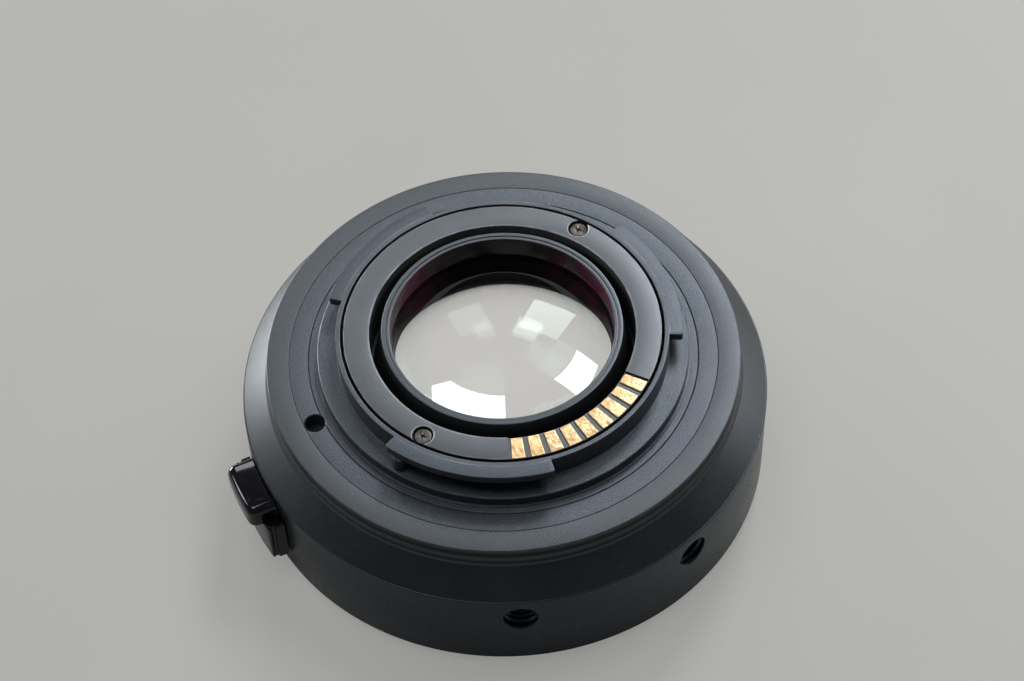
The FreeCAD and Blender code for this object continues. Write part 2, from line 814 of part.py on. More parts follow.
def lens_mount_ring():
    """Lens-side bayonet ring with its three inner lugs."""
    bore = throat_radius
    sleeve = throat_radius + throat_sleeve
    body = lathe([
        (bore + seat_chamfer, 0),
        (seat_ring_radius - seat_chamfer, 0),
        (seat_ring_radius, seat_chamfer),
        (seat_ring_radius, seat_ring_thick),
        (sleeve, seat_ring_thick),
        (sleeve, barrel_web_top),
        (bore, barrel_web_top),
        (bore, seat_chamfer),
    ])
    half = seat_lug_sweep / 2
    lugs = [sector(seat_lug_radius, bore + seat_chamfer, seat_lug_low, seat_lug_thick,
                   centre - half, centre + half) for centre in seat_lug_centres]
    body = body.fuse(lugs)
    cuts = rods(seat_screw[0] + clear_hole, 0, seat_ring_thick, seat_screw_circle, seat_screw_angles)
    cuts += rods(seat_screw[1] + clear_hole, 0, seat_screw[2] + head_sink,
                 seat_screw_circle, seat_screw_angles)
    cuts.append(rod(lock_pin_radius + running_gap, 0, seat_ring_thick, lock_pin_circle, lever_angle))
    cuts.append(rod(index_radius + slip, 0, index_depth, index_circle, index_angle))
    return body.cut(cuts).removeSplitter()


def lens_mount_screws():
    """Four screws that hold the lens ring to the barrel."""
    seat = seat_screw[2] + head_sink
    length = barrel_web_top - seat
    return [screw(seat_screw, seat, length, seat_screw_circle, angle, False) for angle in seat_screw_angles]


def lens_index_dot():
    """Index mark for the lens side, let into the ring."""
    return rod(index_radius, head_sink, index_depth, index_circle, index_angle)


def shell_screws():
    """Long screws that clamp the barrel and the upper shell together."""
    seat = seat_ring_thick + shell_screw[2] + head_sink
    length = web_bottom + tap_depth - tap_end - seat
    return [screw(shell_screw, seat, length, post_circle, angle, False) for angle in post_angles]


def lug_springs():
    """Bowed leaf springs that press the lens's lugs against the ring."""
    outer = throat_radius - slip
    inner = outer - lug_spring_width
    half = outer * math.sin(math.radians(lug_spring_sweep / 2))
    high = barrel_web_top
    low = high - lug_spring_bow
    start = inner - 2 * overshoot

    def bow(offset):
        ends = V(start, -half, high - offset), V(start, half, high - offset)
        return ends[0], V(start, 0, low - offset), ends[1]

    near, mid, far = bow(0)
    near_low, mid_low, far_low = bow(lug_spring_thick)
    outline = Part.Wire([
        Part.Arc(near, mid, far).toShape(),
        Part.LineSegment(far, far_low).toShape(),
        Part.Arc(far_low, mid_low, near_low).toShape(),
        Part.LineSegment(near_low, near).toShape(),
    ])
    strip = Part.Face(outline).extrude(V(lug_spring_width + 4 * overshoot, 0, 0))
    leaf = strip.common(tube(inner, outer, low - overshoot, high))
    return [turned(leaf.copy(), centre) for centre in seat_lug_centres]


def inner_liner():
    """Black moulded liner round the lens's tail, with bosses under the board."""
    wall_inner = liner_radius - liner_wall
    body = lathe([
        (wall_inner, barrel_web_top),
        (liner_flange_radius, barrel_web_top),
        (liner_flange_radius, barrel_web_top + liner_flange_thick),
        (liner_radius, barrel_web_top + liner_flange_thick),
        (liner_radius, liner_floor_top),
        (liner_bore, liner_floor_top),
        (liner_bore, liner_floor_bottom),
        (wall_inner, liner_floor_bottom),
    ])
    bosses = rods(board_post_radius, liner_floor_bottom, board_bottom, board_post_circle, board_post_angles)
    body = body.fuse(bosses)
    cuts = rods(post_radius + 2 * slide_gap, barrel_web_top, liner_floor_top, post_circle, post_angles)
    cuts += rods(liner_screw[0] + clear_hole, liner_floor_bottom, board_bottom,
                 board_post_circle, board_post_angles)
    cuts += rods(block_screw[0] + thread_gap, liner_floor_bottom, liner_floor_top,
                 pin_circle, block_screw_angles())
    cuts.append(sector(flex_inner() - flex_thick, wall_inner, liner_floor_bottom, liner_floor_top,
                       *flex_span(flex_side_gap)))
    cuts.append(rod(carrier_half_width + slide_gap, barrel_web_top, barrel_web_top + liner_flange_thick,
                    lock_pin_circle, lever_angle))
    return body.cut(cuts).removeSplitter()


def liner_screws():
    """Screws that hold the liner and the board to the shell's posts."""
    length = web_bottom - liner_floor_bottom - head_sink - tap_end
    return [screw(liner_screw, liner_floor_bottom, length, board_post_circle, angle, False)
            for angle in board_post_angles]


def block_screw_angles():
    """Angles of the two contact block screws."""
    return [block_angle + offset for offset in block_screw_offsets]


def pin_angles():
    """Angles of the lens contact pins."""
    return [block_angle + offset for offset in pin_offsets]


def lens_contact_block():
    """Moulded block that guides the lens contact pins."""
    half = block_sweep / 2
    body = sector(block_inner, block_outer, block_face, liner_floor_bottom,
                  block_angle - half, block_angle + half)
    cuts = rods(contact_pin_radius + running_gap, block_face, pin_collar_low, pin_circle, pin_angles())
    cuts += rods(contact_pin_collar + running_gap, pin_collar_low, liner_floor_bottom,
                 pin_circle, pin_angles())
    cuts += rods(block_screw[0] + clear_hole, block_face, liner_floor_bottom,
                 pin_circle, block_screw_angles())
    cuts += rods(block_screw[1] + clear_hole, block_face, block_face + block_screw[2] + head_sink,
                 pin_circle, block_screw_angles())
    return body.cut(cuts).removeSplitter()


def contact_block_screws():
    """Two screws that hold the contact block to the liner."""
    seat = block_face + block_screw[2] + head_sink
    length = liner_floor_top - seat
    return [screw(block_screw, seat, length, pin_circle, angle, False) for angle in block_screw_angles()]


def lens_contact_pins():
    """Spring-loaded pins with a chamfered tip and a collar inside the block."""
    pin = lathe([
        (0, pin_tip),
        (contact_pin_radius - contact_pin_chamfer, pin_tip),
        (contact_pin_radius, pin_tip + contact_pin_chamfer),
        (contact_pin_radius, pin_collar_low),
        (contact_pin_collar, pin_collar_low),
        (contact_pin_collar, pin_collar_high),
        (0, pin_collar_high),
    ])
    return [pin.translated(place(pin_circle, angle)) for angle in pin_angles()]


def contact_pin_springs():
    """Small coil springs behind the pins' collars."""
    radius = contact_pin_collar - 2 * pin_spring_wire
    return [coil(radius, pin_spring_wire, pin_spring_sides, pin_collar_high, liner_floor_bottom,
                 pin_spring_turns, pin_circle, angle) for angle in pin_angles()]


def circuit_board():
    """Ring-shaped board above the liner."""
    body = tube(board_bore, board_radius, board_bottom, board_top)
    cuts = rods(liner_screw[0] + clear_hole, board_bottom, board_top, board_post_circle, board_post_angles)
    return body.cut(cuts).removeSplitter()


def board_chips():
    """Chips on the upper face of the board."""
    circle = (board_bore + board_radius) / 2
    pieces = []
    for angle, length, width, height in chips:
        chip = block(circle - width / 2, circle + width / 2, length / 2, board_top, board_top + height)
        pieces.append(turned(chip, angle))
    return pieces


def flex_inner():
    """Inner radius of the lens cable, between the block and the liner's wall."""
    return block_outer + flex_block_gap


def flex_span(extra=0.0):
    """Start and end angle of the lens cable."""
    half = math.degrees((flex_width / 2 + extra) / block_outer)
    return block_angle - half, block_angle + half


def lens_flex_cable():
    """Flat cable from the lens contact block up to the board."""
    low = block_face + flex_start
    return sector(flex_inner(), flex_inner() + flex_thick, low, board_bottom, *flex_span())


def camera_flex_cable():
    """Flat cable from the board through the web to the camera contacts."""
    rise = flex_rise()
    level = web_top + flex_level
    climb = (contact_bore + contact_outer) / 2
    top = pad_floor - pocket_roof - flex_end_gap
    corners = [
        (rise + flex_thick, board_top),
        (rise + flex_thick, level + flex_thick),
        (climb + flex_thick, level + flex_thick),
        (climb + flex_thick, top),
        (climb, top),
        (climb, level),
        (rise, level),
        (rise, board_top),
    ]
    points = [V(x, -flex_width / 2, z) for x, z in corners]
    strip = Part.Face(Part.makePolygon(points + points[:1])).extrude(V(0, flex_width, 0))
    inner = [bend_edge(strip, climb + flex_thick, level + flex_thick), bend_edge(strip, rise, level)]
    strip = strip.makeFillet(flex_bend, inner)
    outer = [bend_edge(strip, rise + flex_thick, level + flex_thick), bend_edge(strip, climb, level)]
    return turned(strip.makeFillet(flex_bend + flex_thick, outer), flex_angle)


def bend_edge(strip, x, z):
    """Edge of the strip that runs across it at a corner."""
    for edge in strip.Edges:
        box = edge.BoundBox
        across = box.XLength < same and box.ZLength < same
        if across and abs(box.XMin - x) < same and abs(box.ZMin - z) < same:
            return edge


def lock_pin():
    """Lens lock pin with a thin guide for its spring."""
    pin = lathe([
        (0, 0),
        (lock_pin_radius - lock_pin_tip, 0),
        (lock_pin_radius, lock_pin_tip),
        (lock_pin_radius, carrier_high),
        (lock_pin_guide, carrier_high),
        (lock_pin_guide, lock_pin_top),
        (0, lock_pin_top),
    ])
    return pin.translated(place(lock_pin_circle, lever_angle))


def lock_pin_carrier():
    """Steel carrier that joins the lock pin to the lever's tongue."""
    eye = rod(carrier_half_width, carrier_low, carrier_high, lock_pin_circle, 0)
    reach = barrel_inner + barrel_wall / 2
    arm = block(lock_pin_circle, reach, carrier_half_width, carrier_low, carrier_high)
    hole = rod(lock_pin_radius + slip, carrier_low, carrier_high, lock_pin_circle, 0)
    tap = rod(clamp_screw[0] + thread_gap, carrier_low, carrier_high, clamp_screw_circle, 0)
    return turned(eye.fuse(arm).cut([hole, tap]).removeSplitter(), lever_angle)


def carrier_screw():
    """Screw that clamps the lever's tongue to the carrier."""
    length = tongue_thick + carrier_thick - tap_end
    return screw(clamp_screw, tongue_high, length, clamp_screw_circle, lever_angle)


def release_lever():
    """Thumb lever outside the barrel, with its tongue through the window."""
    pad = tube(lever_inner, pad_reach, pad_low, pad_high).common(
        block(barrel_inner, pad_reach + overshoot, pad_half_width, pad_low, pad_high))
    pad = pad.makeFillet(pad_round, [edge for edge in pad.Edges if is_pad_rim(edge)])
    base = tube(lever_inner, base_reach, base_low, base_high).common(
        block(barrel_inner, base_reach + overshoot, base_half_width, base_low, base_high))
    base = base.makeFillet(base_round, [edge for edge in base.Edges if is_base_rim(edge)])
    tongue = block(tongue_inner, lever_inner + tongue_root, carrier_half_width, carrier_high, tongue_high)
    groove_x = (lever_inner + base_reach) / 2
    grooves = [Part.makeCylinder(base_groove, base_high - base_low, V(groove_x, side, base_low))
               for side in (-base_half_width, base_half_width)]
    hole = rod(clamp_screw[0] + thread_gap, carrier_high, tongue_high, clamp_screw_circle, 0)
    body = pad.fuse([base.cut(grooves), tongue]).cut(hole)
    return turned(body.removeSplitter(), lever_angle)


def is_pad_rim(edge):
    """True for the pad's edges away from the barrel: top, ends and outer side."""
    middle = edge.valueAt((edge.FirstParameter + edge.LastParameter) / 2)
    return math.hypot(middle.x, middle.y) > lever_inner + pad_round


def is_base_rim(edge):
    """True for the base's edges on its outer side."""
    middle = edge.valueAt((edge.FirstParameter + edge.LastParameter) / 2)
    return math.hypot(middle.x, middle.y) > base_reach - base_round


def release_spring():
    """Coil spring that pushes the lock pin out."""
    return coil(release_spring_radius, release_spring_wire, release_spring_sides, carrier_high, web_bottom,
                release_spring_turns, lock_pin_circle, lever_angle)


def export(name, made):
    """Write one sub-part, a solid or a list of solids, to its own file."""
    shape = Part.makeCompound(made) if isinstance(made, list) else made
    shape.exportStep("parts/" + name + ".step")


PARTS = (
    lower_barrel,
    camera_index_dot,
    upper_shell,
    shell_screws,
    camera_mount,
    camera_mount_screws,
    mount_stop_pin,
    camera_contact_ring,
    camera_contact_pads,
    contact_ring_screws,
    lens_cell,
    cell_screws,
    rear_retaining_ring,
    rear_element,
    doublet_rear,
    doublet_front,
    lens_spacer,
    front_element,
    front_retaining_ring,
    lens_mount_ring,
    lens_mount_screws,
    lens_index_dot,
    lug_springs,
    inner_liner,
    liner_screws,
    lens_contact_block,
    contact_block_screws,
    lens_contact_pins,
    contact_pin_springs,
    circuit_board,
    board_chips,
    lens_flex_cable,
    camera_flex_cable,
    release_lever,
    lock_pin_carrier,
    carrier_screw,
    lock_pin,
    release_spring,
)

os.makedirs("parts", exist_ok=True)
for make in PARTS:
    export(make.__name__, make())
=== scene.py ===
import functools
import logging
import math
from dataclasses import dataclass
from enum import Enum
from typing import Callable, Sequence

import bpy
from mathutils import Matrix, Quaternion, Vector


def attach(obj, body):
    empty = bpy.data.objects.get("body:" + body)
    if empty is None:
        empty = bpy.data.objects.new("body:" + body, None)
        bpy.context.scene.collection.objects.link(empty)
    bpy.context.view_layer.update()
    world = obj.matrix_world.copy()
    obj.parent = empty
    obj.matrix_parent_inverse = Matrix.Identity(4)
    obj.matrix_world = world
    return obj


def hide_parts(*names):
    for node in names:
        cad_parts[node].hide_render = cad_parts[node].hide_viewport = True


# Looks of a focal-reducing lens mount adapter with an electronic camera bayonet.
# Sizes are in millimetres and angles in degrees about the optical axis, as on the drawing.

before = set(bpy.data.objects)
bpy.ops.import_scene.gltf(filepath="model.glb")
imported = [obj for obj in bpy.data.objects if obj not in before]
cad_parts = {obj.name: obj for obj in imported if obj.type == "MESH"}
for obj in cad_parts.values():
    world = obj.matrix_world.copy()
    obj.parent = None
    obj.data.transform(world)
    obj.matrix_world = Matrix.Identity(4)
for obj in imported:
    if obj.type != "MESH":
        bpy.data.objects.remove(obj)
log = logging.getLogger("adapter")

MM = 0.001
FULL_TURN = 360.0
ROUND_STEPS = 224         # stretches round a large turned piece
SMALL_STEPS = 48          # stretches round a screw, pin or hole
MERGE = 1e-6              # points nearer than this, in metres, become one
OVERSHOOT = 1.0           # how far a cutting tool runs past what it cuts
SHARP = 32.0              # edges that turn more than this stay sharp in the shading

FLANGE = 20.6             # the camera's flange face
WEB_LOW = 15.4            # lower face of the shell's web
WEB_HIGH = 18.4           # upper face of the shell's web
BODY_JOINT = 14.3         # where barrel and shell meet outside
BARREL_RADIUS = 34.9
BARREL_WEB = 4.4          # upper face of the barrel's web
POST_CIRCLE = 29.2        # posts between the barrel and the shell
POST_ANGLES = (60.0, 150.0, 240.0, 340.0)
LOCK_CIRCLE = 29.6        # the lens lock pin
LEVER_ANGLE = 202.9       # the lever and the lock pin
INDEX_ANGLE = 112.7       # the index marks
CONTACT_SCREWS = (19.5, (56.5, 237.0))  # circle and angles of the contact ring's screws

Stop = tuple[float, ...]
Place = tuple[float, float, float]
Colour = tuple[float, float, float]
Piece = bpy.types.Object


class Join(Enum):
    """What a tool does to a piece."""

    CUT = "DIFFERENCE"
    FUSE = "UNION"
    KEEP = "INTERSECT"


class Body(Enum):
    """Bodies of the frame that pieces ride on."""

    HOUSING = "housing"
    RELEASE = "release"
    PINS = "contact_pins"


@dataclass(frozen=True)
class Axis:
    """A line that pieces are turned about.

    Attributes:
        origin: point on the line where height is 0.
        along: direction of height.
        out: direction of radius at the start of a turn.
    """

    origin: Place = (0.0, 0.0, 0.0)
    along: Place = (0.0, 0.0, 1.0)
    out: Place = (1.0, 0.0, 0.0)

    def point(self, radius: float, height: float) -> Vector:
        """Point at a radius and a height, in metres."""
        return MM * (Vector(self.origin) + radius * Vector(self.out) + height * Vector(self.along))

    def placing(self) -> Matrix:
        """Matrix that takes a piece made about the optical axis to this line."""
        out, along = Vector(self.out), Vector(self.along)
        placed = Matrix((out, along.cross(out), along)).transposed().to_4x4()
        placed.translation = MM * Vector(self.origin)
        return placed


def spot(circle: float, angle: float, height: float = 0.0) -> Place:
    """Place on a circle about the optical axis."""
    turned = math.radians(angle)
    return (circle * math.cos(turned), circle * math.sin(turned), height)


def optical(start: float = 0.0) -> Axis:
    """Optical axis, for a turn that starts at an angle."""
    return Axis(out=spot(1.0, start))


def upright(circle: float, angle: float, height: float = 0.0, upward: bool = True) -> Axis:
    """Line parallel to the optical axis, at a place on a circle."""
    return Axis(spot(circle, angle, height), (0.0, 0.0, 1.0 if upward else -1.0), spot(1.0, angle))


def radial(angle: float, height: float) -> Axis:
    """Line that leaves the optical axis square to it, at a height."""
    return Axis((0.0, 0.0, height), spot(1.0, angle), (0.0, 0.0, 1.0))


def rounded(outline: Sequence[Stop], bits: int) -> list[Vector]:
    """Round the corners of an outline.

    Args:
        outline: stops of (radius, height), or (radius, height, rounding) for a rounded corner.
        bits: stretches in each rounding.

    Returns:
        The outline's points.
    """
    points = []
    for index, stop in enumerate(outline):
        corner = Vector(stop[:2])
        if len(stop) < 3:
            points.append(corner)
            continue
        before = Vector(outline[index - 1][:2]) - corner
        after = Vector(outline[(index + 1) % len(outline)][:2]) - corner
        reach = stop[2] / math.tan(before.angle(after) / 2)
        reach = min(reach, 0.49 * before.length, 0.49 * after.length)
        start = corner + reach * before.normalized()
        end = corner + reach * after.normalized()
        for bit in range(bits + 1):
            share = bit / bits
            points.append((1 - share) ** 2 * start + 2 * share * (1 - share) * corner + share ** 2 * end)
    return points


def curve(start: Stop, through: Stop, end: Stop, bits: int = 12) -> list[Stop]:
    """Stops along a smooth curve from one point through another to a third."""
    pull = 2 * Vector(through) - (Vector(start) + Vector(end)) / 2
    stops = []
    for bit in range(bits + 1):
        share = bit / bits
        point = (1 - share) ** 2 * Vector(start) + 2 * share * (1 - share) * pull + share ** 2 * Vector(end)
        stops.append(tuple(point))
    return stops


def dome(sphere: float, land: float, edge: float, bulge: int, bits: int = 28) -> list[Stop]:
    """Outline of a spherical face of glass.

    Args:
        sphere: radius of the sphere.
        land: radius at the face's edge.
        edge: height of the face's edge.
        bulge: 1 where the face's centre is above its edge, -1 where it is below.
        bits: stretches in the outline.

    Returns:
        Stops from the centre outwards.
    """
    reach = math.asin(land / sphere)
    stops = []
    for bit in range(bits + 1):
        lean = reach * bit / bits
        stops.append((sphere * math.sin(lean), edge + bulge * sphere * (math.cos(lean) - math.cos(reach))))
    return stops


def band(inner: float, outer: float, low: float, high: float) -> list[Stop]:
    """Outline of a plain ring between two radii and two heights."""
    return [(inner, low), (outer, low), (outer, high), (inner, high)]


def rest() -> None:
    """Leave edit mode and let go of every object."""
    if bpy.context.object and bpy.context.object.mode != "OBJECT":
        bpy.ops.object.mode_set(mode="OBJECT")
    bpy.ops.object.select_all(action="DESELECT")


def take(piece: Piece) -> None:
    """Select one piece alone."""
    rest()
    piece.select_set(True)
    bpy.context.view_layer.objects.active = piece


def draw(name: str, points: Sequence[Vector]) -> Piece:
    """Draw a line through points by extruding one point after another.

    Args:
        name: name of the new piece.
        points: places in metres.

    Returns:
        The piece, in edit mode with all of it selected.
    """
    rest()
    bpy.ops.mesh.primitive_plane_add(size=MM, location=points[0])
    piece = bpy.context.object
    piece.name = piece.data.name = name
    bpy.ops.object.transform_apply(location=True, rotation=True, scale=True)
    bpy.ops.object.mode_set(mode="EDIT")
    bpy.ops.mesh.select_mode(type="VERT")
    bpy.ops.mesh.select_all(action="SELECT")
    bpy.ops.mesh.merge(type="CENTER")
    for here, there in zip(points, points[1:]):
        bpy.ops.mesh.extrude_region_move(TRANSFORM_OT_translate={"value": there - here})
    bpy.ops.mesh.select_all(action="SELECT")
    bpy.ops.mesh.remove_doubles(threshold=MERGE)
    return piece


def close_up() -> None:
    """Merge what meets, turn all faces outwards and leave edit mode."""
    bpy.ops.mesh.select_all(action="SELECT")
    bpy.ops.mesh.remove_doubles(threshold=MERGE)
    bpy.ops.mesh.normals_make_consistent(inside=False)
    bpy.ops.object.mode_set(mode="OBJECT")


def turn(name: str, outline: Sequence[Stop], axis: Axis = Axis(), steps: int = ROUND_STEPS,
         sweep: float = FULL_TURN, bits: int = 4) -> Piece:
    """Turn an outline about an axis into a closed solid.

    Args:
        name: name of the new piece.
        outline: stops of the outline. One that starts and ends on the axis is left open there.
        axis: line to turn about.
        steps: stretches in the turn.
        sweep: angle of the turn.
        bits: stretches in each rounding.

    Returns:
        The piece, in object mode.
    """
    points = [axis.point(*point) for point in rounded(outline, bits)]
    on_axis = outline[0][0] == 0 and outline[-1][0] == 0
    piece = draw(name, points if on_axis else points + points[:1])
    if sweep < FULL_TURN:
        bpy.ops.mesh.edge_face_add()
    bpy.ops.mesh.spin(steps=steps, angle=-math.radians(sweep), center=axis.point(0, 0), axis=axis.along)
    close_up()
    return piece


def peg(name: str, axis: Axis, radius: float, low: float, high: float, steps: int = SMALL_STEPS) -> Piece:
    """Plain round peg on an axis, between two heights."""
    return turn(name, band(0.0, radius, low, high), axis, steps)


def coil(name: str, outline: Sequence[Stop], pitch: float, turns: int, axis: Axis) -> Piece:
    """Wind an outline about an axis into a closed coil.

    Args:
        name: name of the new piece.
        outline: stops of the coil's section, each (radius, height).
        pitch: rise in one turn.
        turns: number of turns.
        axis: line to wind about, from its point of height 0.

    Returns:
        The piece, in object mode.
    """
    points = [Axis().point(*stop) for stop in outline]
    piece = draw(name, points + points[:1])
    bpy.ops.object.mode_set(mode="OBJECT")
    modifier = piece.modifiers.new(name, "SCREW")
    modifier.screw_offset = pitch * MM
    modifier.iterations = turns
    modifier.steps = modifier.render_steps = SMALL_STEPS
    bpy.ops.object.modifier_apply(modifier=modifier.name)
    bpy.ops.object.mode_set(mode="EDIT")
    bpy.ops.mesh.select_all(action="SELECT")
    bpy.ops.mesh.fill_holes(sides=len(outline))
    close_up()
    return put(piece, axis.placing())


def slab(name: str, across: tuple[float, float], half_width: float, heights: tuple[float, float],
         angle: float = 0.0) -> Piece:
    """Block along one radius of the adapter.

    Args:
        name: name of the new piece.
        across: its inner and outer radius.
        half_width: half its width, square to the radius.
        heights: its lowest and highest height.
        angle: angle of the radius.

    Returns:
        The piece, in object mode.
    """
    rest()
    middle = spot(sum(across) / 2, angle, sum(heights) / 2)
    size = (across[1] - across[0], 2 * half_width, heights[1] - heights[0])
    bpy.ops.mesh.primitive_cube_add(size=MM, location=MM * Vector(middle), scale=size,
                                    rotation=(0, 0, math.radians(angle)))
    piece = bpy.context.object
    piece.name = piece.data.name = name
    bpy.ops.object.transform_apply(location=True, rotation=True, scale=True)
    return piece


def put(piece: Piece, placing: Matrix) -> Piece:
    """Move a piece for good, so that its object stays at the origin."""
    take(piece)
    piece.matrix_world = placing
    bpy.ops.object.transform_apply(location=True, rotation=True, scale=True)
    return piece


def gather(pieces: Sequence[Piece]) -> Piece:
    """Join pieces into the first of them."""
    take(pieces[0])
    for piece in pieces:
        piece.select_set(True)
    if len(pieces) > 1:
        bpy.ops.object.join()
    return pieces[0]


def repeat(piece: Piece, placings: Sequence[Matrix]) -> Piece:
    """Copy a piece that was made about the optical axis to several places, as one piece."""
    name, copies = piece.name, []
    for placing in placings:
        take(piece)
        bpy.ops.object.duplicate()
        copies.append(put(bpy.context.object, placing))
    bpy.data.objects.remove(piece)
    whole = gather(copies)
    whole.name = whole.data.name = name
    return whole


def combine(piece: Piece, tools: Sequence[Piece], how: Join) -> None:
    """Cut, fuse or keep a piece with tools that don't touch each other, and use the tools up."""
    tool = gather(tools)
    take(piece)
    modifier = piece.modifiers.new(tool.name, "BOOLEAN")
    modifier.operation = how.value
    modifier.solver = "EXACT"
    modifier.object = tool
    bpy.ops.object.modifier_apply(modifier=modifier.name)
    bpy.data.objects.remove(tool)


def soften(piece: Piece, width: float, segments: int, chosen: Callable[[Vector, Vector], bool]) -> None:
    """Round the chosen sharp edges of a piece.

    Args:
        piece: the piece.
        width: size of the rounding.
        segments: faces across the rounding.
        chosen: says for an edge's two ends, in millimetres, whether it is rounded.
    """
    take(piece)
    bpy.ops.object.mode_set(mode="EDIT")
    bpy.ops.mesh.select_mode(type="EDGE")
    bpy.ops.mesh.select_all(action="DESELECT")
    bpy.ops.mesh.edges_select_sharp(sharpness=math.radians(SHARP))
    bpy.ops.object.mode_set(mode="OBJECT")
    points = piece.data.vertices
    for edge in piece.data.edges:
        first, last = (points[index].co / MM for index in edge.vertices)
        edge.select = edge.select and chosen(first, last)
    for point in points:
        point.select = False
    for edge in piece.data.edges:
        if edge.select:
            for index in edge.vertices:
                points[index].select = True
    for face in piece.data.polygons:
        face.select = False
    bpy.ops.object.mode_set(mode="EDIT")
    bpy.ops.mesh.bevel(offset=width * MM, segments=segments, affect="EDGES")
    bpy.ops.object.mode_set(mode="OBJECT")


def hole(name: str, axis: Axis, radius: float, low: float, high: float, flare: float = 0.0) -> Piece:
    """Round cutting tool, opened out at its high end to break the hole's edge.

    Args:
        name: name of the tool.
        axis: line of the hole.
        radius: radius of the hole.
        low: where the tool starts.
        high: face that the hole comes out of.
        flare: width of the broken edge.

    Returns:
        The tool.
    """
    wide = radius + flare + (OVERSHOOT if flare else 0.0)
    outline = [(0.0, low), (radius, low), (radius, high - flare), (wide, high + OVERSHOOT),
               (0.0, high + OVERSHOOT)]
    return turn(name, outline, axis, SMALL_STEPS)


@dataclass(frozen=True)
class Screw:
    """A pan-head screw with a cross recess.

    Attributes:
        shank: radius of its shank.
        head: radius of its head.
        head_height: height of its head.
        length: length of its shank.
    """

    shank: float
    head: float
    head_height: float
    length: float

    def make(self, name: str, places: Sequence[Axis]) -> Piece:
        """Model one screw and copy it to its places."""
        rim = 0.3 * self.head_height
        screw = turn(name, [(0.0, -self.length), (self.shank, -self.length, 0.1), (self.shank, 0.0),
                            (self.head, 0.0, 0.05), (self.head, self.head_height, rim),
                            (0.0, self.head_height)], steps=SMALL_STEPS, bits=5)
        wings = [self.wing(angle) for angle in (0.0, 90.0)]
        for wing in wings:
            combine(screw, [wing], Join.CUT)
        soften(screw, 0.03 * self.head, 2, self.on_recess)
        return repeat(screw, [place.placing() for place in places])

    def wing(self, angle: float) -> Piece:
        """Half of the tool that cuts the cross, narrower at its bottom."""
        reach, half_width = 0.65 * self.head, 0.14 * self.head
        depth = 0.55 * self.head_height
        wing = slab("wing", (-reach, reach), half_width, (self.head_height - depth, self.head_height + depth))
        put(wing, Matrix.Rotation(math.radians(angle), 4, "Z"))
        for point in wing.data.vertices:
            point.select = point.co.z < self.head_height * MM
        bpy.ops.object.mode_set(mode="EDIT")
        bpy.ops.mesh.select_mode(type="VERT")
        bpy.ops.transform.resize(value=(0.5, 0.5, 1.0), center_override=(0, 0, self.head_height * MM))
        bpy.ops.object.mode_set(mode="OBJECT")
        return wing

    def on_recess(self, first: Vector, last: Vector) -> bool:
        """Tell whether an edge is on the cross's rim."""
        near = max(math.hypot(first.x, first.y), math.hypot(last.x, last.y)) < 0.8 * self.head
        return near and min(first.z, last.z) > 0.98 * self.head_height


class Wire:
    """A value or a colour on its way through a material, with arithmetic on values."""

    def __init__(self, nodes: "Nodes", socket: bpy.types.NodeSocket) -> None:
        """Hold an output socket of a node."""
        self.nodes = nodes
        self.socket = socket

    def _math(self, operation: str, first: "Wire | float", second: "Wire | float" = 0.0) -> "Wire":
        """Add one Math node."""
        return self.nodes.add("ShaderNodeMath", {"operation": operation}, {0: first, 1: second})

    def __add__(self, other: "Wire | float") -> "Wire":
        """Sum."""
        return self._math("ADD", self, other)

    __radd__ = __add__

    def __sub__(self, other: "Wire | float") -> "Wire":
        """Difference."""
        return self._math("SUBTRACT", self, other)

    def __rsub__(self, other: float) -> "Wire":
        """Difference from a number."""
        return self._math("SUBTRACT", other, self)

    def __mul__(self, other: "Wire | float") -> "Wire":
        """Product."""
        return self._math("MULTIPLY", self, other)

    __rmul__ = __mul__

    def __truediv__(self, other: "Wire | float") -> "Wire":
        """Quotient."""
        return self._math("DIVIDE", self, other)

    def __pow__(self, other: float) -> "Wire":
        """Power."""
        return self._math("POWER", self, other)

    def most(self, other: "Wire | float") -> "Wire":
        """The greater of two values."""
        return self._math("MAXIMUM", self, other)

    def sine(self) -> "Wire":
        """Sine of the value in radians."""
        return self._math("SINE", self)

    def size(self) -> "Wire":
        """The value without its sign."""
        return self._math("ABSOLUTE", self)

    def between(self, low: float, high: float) -> "Wire":
        """Value stretched so that low becomes 0 and high becomes 1, and held there beyond."""
        return self.nodes.add("ShaderNodeMapRange", {"interpolation_type": "SMOOTHSTEP"},
                              {"Value": self, "From Min": low, "From Max": high})


